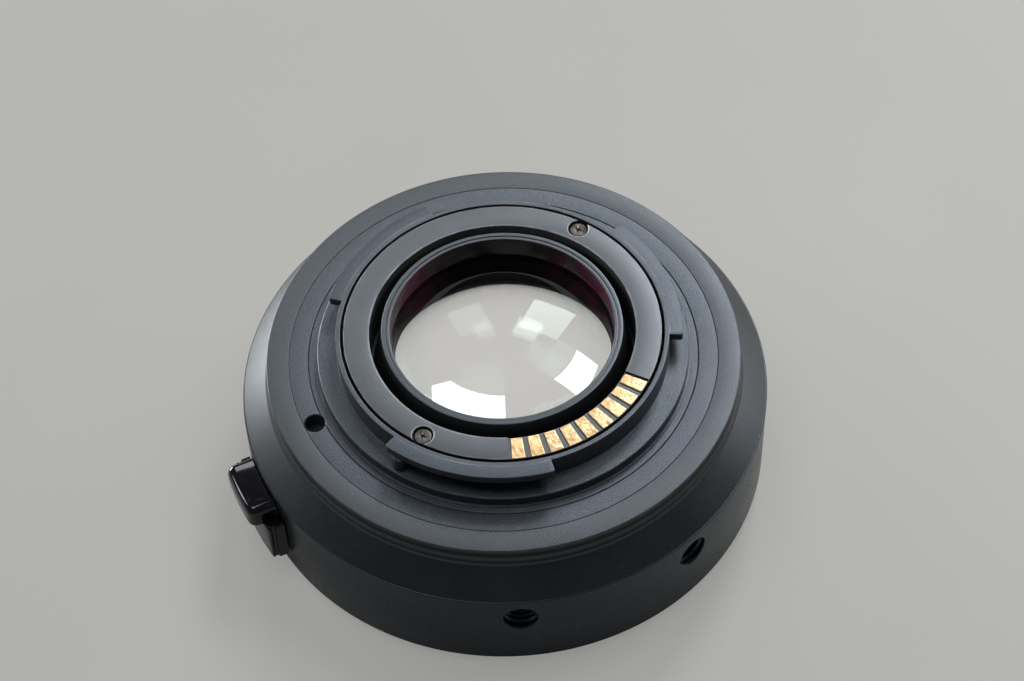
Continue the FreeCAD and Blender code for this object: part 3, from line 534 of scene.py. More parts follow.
class Nodes:
    """Nodes of a material or of the world."""

    def __init__(self, tree: bpy.types.NodeTree) -> None:
        """Start with an empty tree."""
        self.tree = tree
        self.tree.nodes.clear()

    def add(self, kind: str, settings: dict | None = None, inputs: dict | None = None,
            output: int | str = 0) -> Wire:
        """Add a node.

        Args:
            kind: the node's type.
            settings: its settings, set first.
            inputs: values or wires for its sockets, by name or number.
            output: socket that is passed on.

        Returns:
            The wire from its output.
        """
        node = self.tree.nodes.new(kind)
        for key, setting in (settings or {}).items():
            setattr(node, key, setting)
        for key, feed in (inputs or {}).items():
            socket = node.inputs[key]
            if isinstance(feed, Wire):
                self.tree.links.new(feed.socket, socket)
            elif socket.type == "RGBA":
                socket.default_value = (*feed, 1.0)
            else:
                socket.default_value = feed
        return Wire(self, node.outputs[output])

    def end(self, kind: str, shader: Wire) -> None:
        """Add the output node and lead a shader to it."""
        node = self.tree.nodes.new(kind)
        self.tree.links.new(shader.socket, node.inputs["Surface"])

    def blend(self, amount: Wire | float, first: Wire | Colour, second: Wire | Colour) -> Wire:
        """Mix of two colours."""
        return self.add("ShaderNodeMix", {"data_type": "RGBA"}, {0: amount, 6: first, 7: second}, output=2)

    def mixed(self, amount: Wire | float, first: Wire, second: Wire) -> Wire:
        """Mix of two shaders."""
        return self.add("ShaderNodeMixShader", inputs={0: amount, 1: first, 2: second})

    def ray(self, kind: str) -> Wire:
        """1 for rays of one kind, such as Is Camera Ray."""
        return self.add("ShaderNodeLightPath", output=kind)


class Recipe(Nodes):
    """The nodes of one material, with places on the adapter in millimetres."""

    def __init__(self, name: str) -> None:
        """Start an empty material."""
        self.material = bpy.data.materials.new(name)
        self.material.use_nodes = True
        super().__init__(self.material.node_tree)
        place = self.add("ShaderNodeTexCoord", output="Object")
        self.place = self.add("ShaderNodeVectorMath", {"operation": "SCALE"}, {0: place, "Scale": 1 / MM})
        self.x, self.y, self.height = [self.add("ShaderNodeSeparateXYZ", inputs={0: self.place}, output=axis)
                                       for axis in "XYZ"]
        self.radius = (self.x * self.x + self.y * self.y) ** 0.5
        self.angle = self.add("ShaderNodeMath", {"operation": "ARCTAN2"}, {0: self.y, 1: self.x})

    def noise(self, scale: float, detail: float = 2.0, place: Wire | None = None) -> Wire:
        """Soft random values, with about scale features in a millimetre."""
        return self.add("ShaderNodeTexNoise", inputs={"Vector": place or self.place, "Scale": scale,
                                                      "Detail": detail})

    def stretched(self, x: Wire | float, y: Wire | float, z: Wire | float, detail: float = 1.0) -> Wire:
        """Soft random values over three coordinates."""
        return self.noise(1.0, detail, self.add("ShaderNodeCombineXYZ", inputs={0: x, 1: y, 2: z}))

    def bump(self, height: Wire, depth: float, below: Wire | None = None) -> Wire:
        """Surface relief of a depth in millimetres."""
        feeds = {"Height": height, "Distance": depth * MM, "Strength": 1.0}
        if below:
            feeds["Normal"] = below
        return self.add("ShaderNodeBump", inputs=feeds)

    def turned_lines(self, across: float) -> Wire:
        """Fine lines about the optical axis, with about across of them in a millimetre."""
        return self.stretched(self.radius * across, self.angle * 1.5, self.height * across)

    def rims(self, places: Sequence[Stop]) -> Wire:
        """Rims drawn lighter, for wear and for a painted edge highlight, from 0 away from them to 1 on them.

        Args:
            places: radius, height and width of each rim.

        Returns:
            How strongly the surface is drawn lighter there.
        """
        wear_and_highlight: Wire | float = 0.0
        for radius, height, width in places:
            away = ((self.radius - radius) ** 2.0 + (self.height - height) ** 2.0) ** 0.5
            wear_and_highlight = (1.0 - away / width).most(wear_and_highlight)
        return wear_and_highlight * self.noise(0.35, 2.0).between(0.2, 0.85)

    def circle_at(self, place: Place, radius: float, width: float) -> Wire:
        """Upright circle about a place, from 0 away from it to 1 on it."""
        away = ((self.x - place[0]) ** 2.0 + (self.y - place[1]) ** 2.0) ** 0.5
        return 1.0 - (away - radius).size().between(0.3 * width, width)

    def surface(self, **settings: Wire | Colour | float) -> bpy.types.Material:
        """Close the material with one principled surface, whose sockets are named with _ for a space."""
        inputs = {name.replace("_", " "): feed for name, feed in settings.items()}
        self.end("ShaderNodeOutputMaterial", self.add("ShaderNodeBsdfPrincipled", inputs=inputs))
        return self.material


def shade(colour: Colour, amount: float) -> Colour:
    """Colour made lighter or darker."""
    return tuple(min(1.0, part * amount) for part in colour)


@dataclass(frozen=True)
class Finish:
    """A finish by its name, its colour and its roughness."""

    name: str
    colour: Colour
    roughness: float

    def make(self) -> bpy.types.Material:
        """Make the material."""
        raise NotImplementedError


@dataclass(frozen=True)
class Anodised(Finish):
    """Black anodised aluminium, with its rims drawn lighter as wear and as a painted edge highlight, and
    bright grains painted as glints.

    Attributes:
        grain: features of the blasted surface in a millimetre.
        depth: depth of the blasted surface.
        lines: depth of the turned lines.
        wear_and_highlight: colour of the rims, which are worn and also carry a painted edge highlight.
        rims: radius, height and width of each rim that is drawn lighter.
        contrast: how much lighter and darker the specks are.
        bend: refractive index of the oxide.
        tint: colour of its reflections.
        painted_glint: how strong the painted glints are, bright grains drawn into the colour.
        painted_glint_low: height above which the glints are painted, so that only the faces above it get
            them.
        dust: colour of the dust.
        bright: colour of the painted glints.
    """

    grain: float = 4.0
    depth: float = 0.012
    lines: float = 0.0
    wear_and_highlight: Colour = (0.16, 0.16, 0.165)
    rims: tuple[Stop, ...] = ()
    contrast: float = 0.5
    bend: float = 1.77
    tint: Colour = (0.76, 0.87, 1.0)
    painted_glint: float = 0.0
    painted_glint_low: float = 0.0
    dust: Colour = (0.35, 0.34, 0.32)
    bright: Colour = (0.11, 0.12, 0.145)

    def make(self) -> bpy.types.Material:
        """Make the material."""
        recipe = Recipe(self.name)
        speck = recipe.noise(self.grain, 3.0)
        blotch = recipe.noise(0.13, 3.0)
        tone = speck.between(0.35, 0.65) * 0.6 + blotch.between(0.3, 0.7) * 0.4
        dark, light = shade(self.colour, 1 - self.contrast), shade(self.colour, 1 + self.contrast)
        colour = recipe.blend(tone, dark, light)
        dust = recipe.noise(2.6, 1.0).between(0.79, 0.84) * 0.3
        colour = recipe.blend(dust, colour, self.dust)
        # Painted glints: bluish bright grains drawn into the colour above a height, where the top faces catch
        # the light.
        if self.painted_glint:
            bright = recipe.noise(1.7 * self.grain, 2.0).between(0.46, 0.72) * self.painted_glint
            high = recipe.height.between(self.painted_glint_low - 0.1, self.painted_glint_low)
            colour = recipe.blend(bright * high, colour, self.bright)
        rough = self.roughness + 0.3 * (speck - 0.5) + 0.12 * (blotch - 0.5)
        relief = recipe.bump(speck, self.depth)
        if self.lines:
            relief = recipe.bump(recipe.turned_lines(7.0), self.lines, relief)
        # Rims drawn lighter: partly wear, partly a painted edge highlight.
        if self.rims:
            wear_and_highlight = recipe.rims(self.rims)
            colour = recipe.blend(wear_and_highlight, colour, self.wear_and_highlight)
            rough = rough - 0.1 * wear_and_highlight
        return recipe.surface(Base_Color=colour, Roughness=rough, IOR=self.bend, Specular_Tint=self.tint,
                              Normal=relief)


@dataclass(frozen=True)
class Hatched(Finish):
    """Satin black moulding with straight slanting tool marks, with lighter edges that are partly rubbed and
    partly a painted highlight.

    Attributes:
        pitch: distance between the tool marks.
        slant: angle square to the tool marks.
        rubbed_and_highlit: colour of the lighter edges, partly rubbed and partly a painted highlight.
        wall: colour painted on the upper band of the bore's wall as light, with the wall below left dark as
            painted shade.
        screw_places: centres of the counterbores, whose edges get a painted highlight.
    """

    pitch: float = 0.37
    slant: float = 29.0
    rubbed_and_highlit: Colour = (0.34, 0.34, 0.35)
    wall: Colour = (0.11, 0.11, 0.115)
    screw_places: tuple[Place, ...] = tuple(spot(CONTACT_SCREWS[0], angle) for angle in CONTACT_SCREWS[1])

    def make(self) -> bpy.types.Material:
        """Make the material."""
        recipe = Recipe(self.name)
        along, across = math.cos(math.radians(self.slant)), math.sin(math.radians(self.slant))
        row = recipe.x * along + recipe.y * across + recipe.noise(0.3, 1.0) * 0.5
        marks = (row * (2 * math.pi / self.pitch)).sine() * 0.5 + 0.5
        streaks = recipe.stretched(row * 7.0, (recipe.y * along - recipe.x * across) * 0.35, 0.0, 2.0)
        top = recipe.height.between(25.3, 25.48)
        strength = top * recipe.noise(0.25, 2.0).between(0.3, 0.7)
        tone = marks * strength * 0.3 + streaks.between(0.25, 0.75) * 0.35 + 0.1
        colour = recipe.blend(tone, shade(self.colour, 0.6), shade(self.colour, 1.7))
        # Painted light and shade: the upper band of the bore's wall is drawn lighter, and the deeper wall
        # stays dark.
        wall = (1.0 - recipe.radius.between(17.34, 17.42)) * recipe.height.between(23.9, 24.4)
        colour = recipe.blend(wall * 0.8, colour, self.wall)
        # Lighter edges: the top edges are partly rubbed and partly a painted highlight, and the counterbore
        # rims are a painted highlight.
        edge = recipe.rims(((17.4, 25.44, 0.26), (20.68, 25.48, 0.14)))
        for place in self.screw_places:
            edge = edge.most(recipe.circle_at(place, 1.42, 0.13) * top)
        colour = recipe.blend(edge, colour, self.rubbed_and_highlit)
        relief = recipe.bump(marks * strength + streaks * 0.8, 0.006, recipe.bump(recipe.noise(6.0), 0.004))
        rough = self.roughness + 0.2 * (streaks - 0.5) - 0.05 * marks * strength
        return recipe.surface(Base_Color=colour, Roughness=rough, IOR=1.85, Specular_Tint=(0.80, 0.89, 1.0),
                              Normal=relief)


@dataclass(frozen=True)
class Metal(Finish):
    """Bare or plated metal with fine lines and stains.

    Attributes:
        lines: depth of lines turned about the optical axis.
        stain: colour of the stained places.
        stained: how strong the stains are.
    """

    lines: float = 0.0
    stain: Colour = (0.2, 0.19, 0.18)
    stained: float = 0.3

    def make(self) -> bpy.types.Material:
        """Make the material."""
        recipe = Recipe(self.name)
        patch = recipe.noise(0.8, 4.0)
        fine = recipe.noise(9.0, 2.0)
        stains = patch.between(0.5, 0.72) * self.stained
        colour = recipe.blend(fine, shade(self.colour, 0.88), shade(self.colour, 1.1))
        colour = recipe.blend(stains, colour, self.stain)
        relief = recipe.bump(fine, 0.002)
        if self.lines:
            relief = recipe.bump(recipe.turned_lines(11.0), self.lines, relief)
        rough = self.roughness + 0.25 * (patch - 0.5) + 0.3 * stains
        return recipe.surface(Base_Color=colour, Metallic=1.0, Roughness=rough, Normal=relief)


@dataclass(frozen=True)
class Moulded(Finish):
    """Moulded plastic.

    Attributes:
        depth: depth of its fine grain.
        wave: depth of its long soft waves.
        scuffs: how strong its scuffs are.
        gloss: strength of its reflections, 0.5 for plain plastic.
    """

    depth: float = 0.01
    wave: float = 0.0
    scuffs: float = 0.3
    gloss: float = 0.5

    def make(self) -> bpy.types.Material:
        """Make the material."""
        recipe = Recipe(self.name)
        grain = recipe.noise(5.0, 3.0)
        scuff = recipe.stretched(recipe.x * 0.5, recipe.y * 0.5, recipe.height * 4.0, 4.0).between(0.58, 0.75)
        colour = recipe.blend(grain, shade(self.colour, 0.75), shade(self.colour, 1.3))
        colour = recipe.blend(scuff * self.scuffs * 0.2, colour, (0.25, 0.25, 0.25))
        relief = recipe.bump(grain, self.depth)
        if self.wave:
            relief = recipe.bump(recipe.noise(0.35, 1.0), self.wave, relief)
        rough = self.roughness + 0.1 * (grain - 0.5) + self.scuffs * scuff
        return recipe.surface(Base_Color=colour, Roughness=rough, Specular_IOR_Level=self.gloss,
                              Normal=relief)


@dataclass(frozen=True)
class PaintedReflectionBore(Finish):
    """Dull black of a bore, with a painted purple reflection on its left and right sides.

    Attributes:
        painted_reflection: colour of the painted reflection on the sides.
        reach: radius of the bore.
    """

    painted_reflection: Colour = (0.11, 0.012, 0.045)
    reach: float = 14.65

    def make(self) -> bpy.types.Material:
        """Make the material."""
        recipe = Recipe(self.name)
        # Painted reflection: purple drawn on the bore's left and right sides, broken up by noise.
        side = (recipe.x.size() / self.reach).between(0.3, 0.95)
        patch = recipe.noise(0.35, 2.0).between(0.35, 0.65)
        colour = recipe.blend(side * patch, self.colour, self.painted_reflection)
        rough = self.roughness + 0.2 * (patch - 0.5)
        return recipe.surface(Base_Color=colour, Roughness=rough, Specular_IOR_Level=0.15)


@dataclass(frozen=True)
class Foil(Finish):
    """Thin gold plating over a rough base, crinkled, with lighter streaks along the pads that are partly
    rubbed and partly painted glints.
    """

    rubbed_and_highlit: Colour = (0.78, 0.66, 0.52)

    def make(self) -> bpy.types.Material:
        """Make the material."""
        recipe = Recipe(self.name)
        crinkle = recipe.noise(1.7, 3.0)
        wipes = recipe.stretched(recipe.radius * 4.5, recipe.angle * 6.0, 0.0, 2.0)
        patch = recipe.noise(0.9, 3.0)
        colour = recipe.blend(patch.between(0.3, 0.7), shade(self.colour, 0.82), shade(self.colour, 1.2))
        # Lighter streaks: partly rubbing, partly painted glints.
        colour = recipe.blend(wipes.between(0.56, 0.7) * 0.8, colour, self.rubbed_and_highlit)
        pits = recipe.noise(3.2, 1.0).between(0.7, 0.76)
        colour = recipe.blend(pits * 0.8, colour, (0.12, 0.08, 0.05))
        relief = recipe.bump(crinkle, 0.09, recipe.bump(wipes, 0.03))
        rough = self.roughness + 0.3 * (patch - 0.5)
        return recipe.surface(Base_Color=colour, Metallic=0.85, Roughness=rough, Normal=relief)


@dataclass(frozen=True)
class CoatedGlass(Finish):
    """Polished glass with an anti-reflection coating.

    Attributes:
        bend: refractive index.
        sheen: share of each colour that it reflects, next to bare glass.
        mirror: weight of a bright coat over the glass.
    """

    bend: float = 1.6
    sheen: Colour = (0.1, 0.2, 0.15)
    mirror: float = 0.0

    def make(self) -> bpy.types.Material:
        """Make the material."""
        recipe = Recipe(self.name)
        inputs = {"Base Color": self.colour, "Roughness": self.roughness, "IOR": self.bend,
                  "Transmission Weight": 1.0, "Specular Tint": self.sheen, "Coat Weight": self.mirror,
                  "Coat Roughness": 0.0, "Coat IOR": 2.6}
        glass = recipe.add("ShaderNodeBsdfPrincipled", inputs=inputs)
        clear = recipe.add("ShaderNodeBsdfTransparent", inputs={"Color": (0.92, 0.92, 0.92)})
        recipe.end("ShaderNodeOutputMaterial", recipe.mixed(recipe.ray("Is Shadow Ray"), glass, clear))
        return recipe.material


@dataclass(frozen=True)
class Board(Finish):
    """Solder mask over copper tracks."""

    def make(self) -> bpy.types.Material:
        """Make the material."""
        recipe = Recipe(self.name)
        track = (recipe.radius * 5.2 + recipe.noise(0.2) * 6.0).sine().between(0.2, 0.5)
        colour = recipe.blend(track, self.colour, shade(self.colour, 1.7))
        rough = self.roughness + 0.1 * recipe.noise(3.0)
        return recipe.surface(Base_Color=colour, Roughness=rough, Normal=recipe.bump(track, 0.03))


@functools.cache
def paint(finish: Finish) -> bpy.types.Material:
    """Material of a finish, made once."""
    return finish.make()


BARREL_BLACK = Anodised("barrel_anodised", (0.008, 0.009, 0.011), 0.3, grain=5.0, depth=0.004,
                        rims=((34.85, 1.1, 0.15),), contrast=0.35, bend=1.5, tint=(0.66, 0.83, 1.0))
SHELL_BLACK = Anodised("shell_blasted", (0.008, 0.0073, 0.007), 0.4, grain=4.8, depth=0.02, painted_glint=0.55,
                       painted_glint_low=20.5, wear_and_highlight=(0.07, 0.07, 0.072), rims=((31.15, 20.55, 0.15),), contrast=0.6,
                       bend=1.7, tint=(0.78, 0.89, 1.0))
MOUNT_BLACK = Anodised("mount_blasted", (0.008, 0.0082, 0.0095), 0.4, grain=5.5, depth=0.045, painted_glint=0.55,
                       tint=(0.73, 0.85, 1.0), contrast=0.5,
                       rims=((21.7, 25.45, 0.14), (21.1, 25.45, 0.1), (23.45, 25.42, 0.1),
                             (23.45, 24.28, 0.1), (24.32, 22.07, 0.1)))
CELL_BLACK = Anodised("cell_anodised", (0.012, 0.012, 0.013), 0.36, grain=6.0, depth=0.003, lines=0.002,
                      wear_and_highlight=(0.1, 0.1, 0.1), rims=((15.68, 25.97, 0.1),), contrast=0.3)
RING_BLACK = Anodised("retainer_anodised", (0.012, 0.012, 0.0135), 0.36, grain=6.0, depth=0.003, lines=0.003,
                      wear_and_highlight=(0.1, 0.1, 0.1), rims=((14.68, 25.88, 0.08),), contrast=0.3)
EDGE_BLACK = Moulded("glass_edge_paint", (0.002, 0.002, 0.0025), 0.6, depth=0.004, scuffs=0.0, gloss=0.1)
# Retainer bore: black, with a painted purple reflection on its sides.
BORE_BLACK = PaintedReflectionBore("retainer_bore", (0.002, 0.002, 0.003), 0.5)
CONTACT_PLASTIC = Hatched("contact_moulding", (0.022, 0.0225, 0.0245), 0.38)
PAD_GOLD = Foil("pad_gold", (0.62, 0.42, 0.22), 0.36)
PIN_GOLD = Metal("pin_gold", (0.86, 0.66, 0.36), 0.22, stain=(0.5, 0.34, 0.16))
SCREW_BRIGHT = Metal("screw_plated", (0.17, 0.165, 0.155), 0.34, stain=(0.05, 0.045, 0.04), stained=0.7)
SCREW_WORN = Metal("screw_worn", (0.085, 0.08, 0.074), 0.36, stain=(0.03, 0.024, 0.018), stained=0.8)
SCREW_DARK = Metal("screw_blackened", (0.1, 0.1, 0.105), 0.36)
RING_CHROME = Metal("ring_satin_chrome", (0.7, 0.7, 0.69), 0.3, lines=0.003, stained=0.15)
SPRING_STEEL = Metal("spring_bare_steel", (0.48, 0.48, 0.46), 0.28)
LINER_BLACK = Moulded("liner_moulding", (0.008, 0.008, 0.009), 0.5, depth=0.012)
LEVER_GLOSS = Moulded("lever_moulding", (0.0035, 0.0036, 0.0065), 0.08, depth=0.001, wave=0.012, scuffs=0.2)
CHIP_BLACK = Moulded("chip_package", (0.02, 0.02, 0.021), 0.55)
INDEX_RED = Moulded("index_enamel", (0.6, 0.025, 0.015), 0.25, depth=0.004, wave=0.02, scuffs=0.1)
FLEX_AMBER = Moulded("flex_film", (0.5, 0.23, 0.06), 0.3, depth=0.002, wave=0.02)
BOARD_GREEN = Board("board_mask", (0.02, 0.12, 0.05), 0.3)
CLEAR = (1.0, 1.0, 1.0)
GLASS_REAR = CoatedGlass("glass_green_coat", (0.65, 0.66, 0.645), 0.0, bend=1.6, sheen=(0.08, 0.13, 0.1))
GLASS_RIM = CoatedGlass("glass_rim", CLEAR, 0.0, bend=1.6, sheen=CLEAR, mirror=1.0)
GLASS_INNER = CoatedGlass("glass_inner_coat", CLEAR, 0.0, bend=1.65, sheen=(0.07, 0.14, 0.1))
GLASS_INNER_RIM = CoatedGlass("glass_magenta_rim", CLEAR, 0.0, bend=1.65, sheen=(1.0, 0.2, 0.5))
GLASS_UNDER = CoatedGlass("glass_under_coat", CLEAR, 0.0, bend=1.6, sheen=(0.08, 0.14, 0.1))


def dress(piece: Piece, slot: str, finish: Finish, *nodes: str, body: Body = Body.HOUSING) -> None:
    """Smooth and paint a finished piece, and let it stand for nodes of the frame.

    Args:
        piece: the piece.
        slot: the record's material slot; not used.
        finish: its finish.
        *nodes: nodes that it replaces.
        body: body that it rides on.
    """
    take(piece)
    bpy.ops.object.shade_smooth_by_angle(angle=math.radians(SHARP))
    piece.data.materials.clear()
    piece.data.materials.append(paint(finish))
    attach(piece, body.value)
    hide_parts(*nodes)
    log.info("%s: %d faces, on %s", piece.name, len(piece.data.polygons), body.value)


def repaint(piece: Piece, finish: Finish, chosen: Callable[[Vector, Vector], bool]) -> None:
    """Give some faces of a dressed piece another finish.

    Args:
        piece: the piece.
        finish: the finish.
        chosen: says for a face's centre, in millimetres, and its normal whether it is repainted.
    """
    piece.data.materials.append(paint(finish))
    for face in piece.data.polygons:
        if chosen(face.center / MM, face.normal):
            face.material_index = len(piece.data.materials) - 1


@dataclass
class Barrel:
    """Straight lower body with two tapped holes for a tripod foot and the lever's window."""

    inner: float = 32.9
    low: float = 1.0
    lip: float = 32.95
    lip_inner: float = 31.6
    throat: float = 27.55
    ring_seat: float = 2.4
    post_radius: float = 2.0
    foot_angles: tuple[float, ...] = (271.1, 311.6)
    foot_height: float = 10.5
    foot_radius: float = 2.2
    foot_inner: float = 30.2
    thread_pitch: float = 0.7
    thread_height: float = 0.3
    index_height: float = 8.0

    def build(self) -> None:
        """Model and dress the barrel."""
        barrel = turn("barrel", [
            (32.55, self.low), (34.6, self.low, 0.08), (BARREL_RADIUS, 1.3, 0.1),
            (BARREL_RADIUS, BODY_JOINT, 0.14), (self.lip, BODY_JOINT), (self.lip, 15.3),
            (self.lip_inner, 15.3), (self.lip_inner, 13.4), (self.inner, 13.4), (self.inner, BARREL_WEB),
            (self.throat, BARREL_WEB), (self.throat, self.ring_seat), (32.55, self.ring_seat)])
        root = BARREL_WEB - 0.5
        post = [(0.0, root), (self.post_radius, root), (self.post_radius, WEB_LOW, 0.1), (0.0, WEB_LOW)]
        posts = [turn("post", post, upright(POST_CIRCLE, angle), SMALL_STEPS) for angle in POST_ANGLES]
        boss = [(0.0, self.foot_inner), (3.0, self.foot_inner, 0.2), (3.0, 33.9), (0.0, 33.9)]
        bosses = [turn("boss", boss, radial(angle, self.foot_height), SMALL_STEPS)
                  for angle in self.foot_angles]
        combine(barrel, posts + bosses, Join.FUSE)
        tools = [hole("foot", radial(angle, self.foot_height), self.foot_radius, 29.2, BARREL_RADIUS, 0.18)
                 for angle in self.foot_angles]
        tools.append(slab("window", (31.9, 35.9), 2.7, (4.45, 10.3), LEVER_ANGLE))
        tools.append(hole("mark", radial(INDEX_ANGLE, self.index_height), 1.35, 34.4, BARREL_RADIUS, 0.06))
        combine(barrel, tools, Join.CUT)
        barrel = gather([barrel] + [self.thread(angle) for angle in self.foot_angles])
        dress(barrel, "barrel_black", BARREL_BLACK, "lower_barrel")

    def thread(self, angle: float) -> Piece:
        """Helical ridge inside a foot hole."""
        wall = self.foot_radius + 0.05
        tip = self.foot_radius - self.thread_height
        pitch = self.thread_pitch
        outline = [(wall, 0.0), (tip, 0.42 * pitch), (tip, 0.58 * pitch), (wall, pitch)]
        start = spot(self.foot_inner + 0.1, angle, self.foot_height)
        turns = int((BARREL_RADIUS - self.foot_inner - 0.9) / pitch)
        return coil("thread", outline, pitch, turns, Axis(start, spot(1.0, angle), (0.0, 0.0, 1.0)))


@dataclass
class Shell:
    """Conical upper body with the flange's outer ring."""

    bore: float = 17.3
    plate_bore: float = 28.2
    rim: float = 31.2
    neck: Stop = (31.02, 18.7)
    band: Stop = (31.2, 19.7)

    def build(self) -> None:
        """Model and dress the shell."""
        outside = [(33.0, WEB_LOW), (33.0, BODY_JOINT), (34.8, BODY_JOINT, 0.08)]
        outside += curve((31.72, 17.38), (31.5, 17.62), (31.42, 17.86), 4)
        outside += curve((31.38, 17.98), self.neck, self.band)
        shell = turn("shell", [(self.bore, WEB_LOW)] + outside + [
            (self.rim, FLANGE, 0.22), (self.plate_bore, FLANGE, 0.05), (self.plate_bore, WEB_HIGH),
            (self.bore, WEB_HIGH)])
        dress(shell, "shell_black", SHELL_BLACK, "upper_shell")


@dataclass
class CameraMount:
    """Bayonet plate with its ledge, collar, three lugs and stop pin."""

    bore: float = 17.9
    outer: float = 28.15
    ledge: float = 24.35
    collar: float = 21.7
    collar_bore: float = 21.1
    shelf: float = 19.8
    lug_spans: tuple[tuple[float, float], ...] = ((228.9, 284.3), (354.2, 405.7), (113.5, 164.5))
    lug_radius: float = 23.45
    lug_low: float = 24.25
    top: float = 25.45
    lug_corner: float = 0.35
    lock_circle: float = 26.72
    lock_angle: float = 202.6
    pin_circle: float = 23.05
    pin_angle: float = 233.6

    def build(self) -> None:
        """Model and dress the mount and its pin."""
        top = self.top
        mount = turn("bayonet_plate", [
            (self.bore, WEB_HIGH), (self.outer, WEB_HIGH), (self.outer, FLANGE, 0.05), (25.7, FLANGE, 0.03),
            (25.6, 20.48), (25.5, FLANGE, 0.03), (24.7, FLANGE), (24.7, 20.75, 0.04), (self.ledge, 20.75),
            (self.ledge, 22.0, 0.05), (24.25, 22.1, 0.05), (self.collar, 22.1, 0.1), (self.collar, top, 0.07),
            (self.collar_bore, top, 0.07), (self.collar_bore, self.shelf), (self.bore, self.shelf)])
        combine(mount, [self.lug(*span) for span in self.lug_spans], Join.FUSE)
        tools = [hole("lock", upright(self.lock_circle, self.lock_angle), 1.33, 17.0, FLANGE, 0.12),
                 hole("pin", upright(self.pin_circle, self.pin_angle), 0.84, 20.9, 22.1, 0.05)]
        combine(mount, tools, Join.CUT)
        dress(mount, "mount_black", MOUNT_BLACK, "camera_mount")
        pin = turn("stop_pin", [(0.0, 20.9), (0.8, 20.9), (0.8, 24.15, 0.12), (0.0, 24.15)],
                   upright(self.pin_circle, self.pin_angle), SMALL_STEPS)
        dress(pin, "mount_black", MOUNT_BLACK, "mount_stop_pin")

    def lug(self, start: float, end: float) -> Piece:
        """One lug, with its outer corners rounded."""
        steps = round((end - start) * ROUND_STEPS / FULL_TURN)
        lug = turn("lug", band(21.35, self.lug_radius, self.lug_low, self.top), optical(start), steps,
                   end - start)
        soften(lug, self.lug_corner, 5, self.is_corner)
        soften(lug, 0.07, 3, self.is_rim)
        return lug

    def is_corner(self, first: Vector, last: Vector) -> bool:
        """Tell whether an edge is an upright outer corner."""
        return abs(first.z - last.z) > 0.5 and math.hypot(first.x, first.y) > self.lug_radius - 0.1

    def is_rim(self, first: Vector, last: Vector) -> bool:
        """Tell whether an edge is on the lug's outline, seen from above."""
        return abs(first.z - last.z) < 0.01 and max(math.hypot(*first[:2]), math.hypot(*last[:2])) > 21.6


@dataclass
class ContactRing:
    """Moulded ring with nine gold pads and two screws."""

    bore: float = 17.33
    outer: float = 20.7
    floor: float = 19.8
    top: float = 25.5
    pad_count: int = 9
    pad_first: float = 271.2
    pad_pitch: float = 7.0
    pad_width: float = 4.96
    bed_floor: float = 25.2
    pad_floor: float = 25.15
    pad_top: float = 25.4
    pad_inner: float = 17.43
    pad_outer: float = 20.6
    screw_seat: float = 24.4
    screw: Screw = Screw(0.6, 1.2, 0.8, 5.5)

    def build(self) -> None:
        """Model and dress the ring, its pads and its screws."""
        ring = turn("contact_ring", [
            (self.bore, self.floor), (self.outer, self.floor), (self.outer, self.top, 0.06),
            (self.bore, self.top, 0.08)])
        margin = (self.pad_pitch - self.pad_width) / 2
        sweep = self.pad_pitch * self.pad_count
        bed = turn("bed", band(16.5, self.pad_outer + 0.05, self.bed_floor, self.top + OVERSHOOT),
                   optical(self.pad_first - margin), 40, sweep)
        circle, angles = CONTACT_SCREWS
        counterbores = [hole("counterbore", upright(circle, angle), 1.35, self.screw_seat, self.top, 0.1)
                        for angle in angles]
        combine(ring, [bed] + counterbores, Join.CUT)
        dress(ring, "contact_plastic", CONTACT_PLASTIC, "camera_contact_ring")
        pads = repeat(self.pad(), [Matrix.Rotation(math.radians(index * self.pad_pitch), 4, "Z")
                                   for index in range(self.pad_count)])
        dress(pads, "contact_gold", PAD_GOLD, "camera_contact_pads")
        places = [upright(circle, angle, self.screw_seat) for angle in angles]
        dress(self.screw.make("contact_screws", places), "bright_screw", SCREW_WORN,
              "contact_ring_screws")

    def pad(self) -> Piece:
        """First pad, with rounded corners and edges."""
        pad = turn("contact_pads", band(self.pad_inner, self.pad_outer, self.pad_floor, self.pad_top),
                   optical(self.pad_first), 8, self.pad_width)
        soften(pad, 0.14, 3, lambda first, last: abs(first.z - last.z) > 0.2)
        soften(pad, 0.07, 3, lambda first, last: min(first.z, last.z) > self.pad_top - 0.01)
        return pad


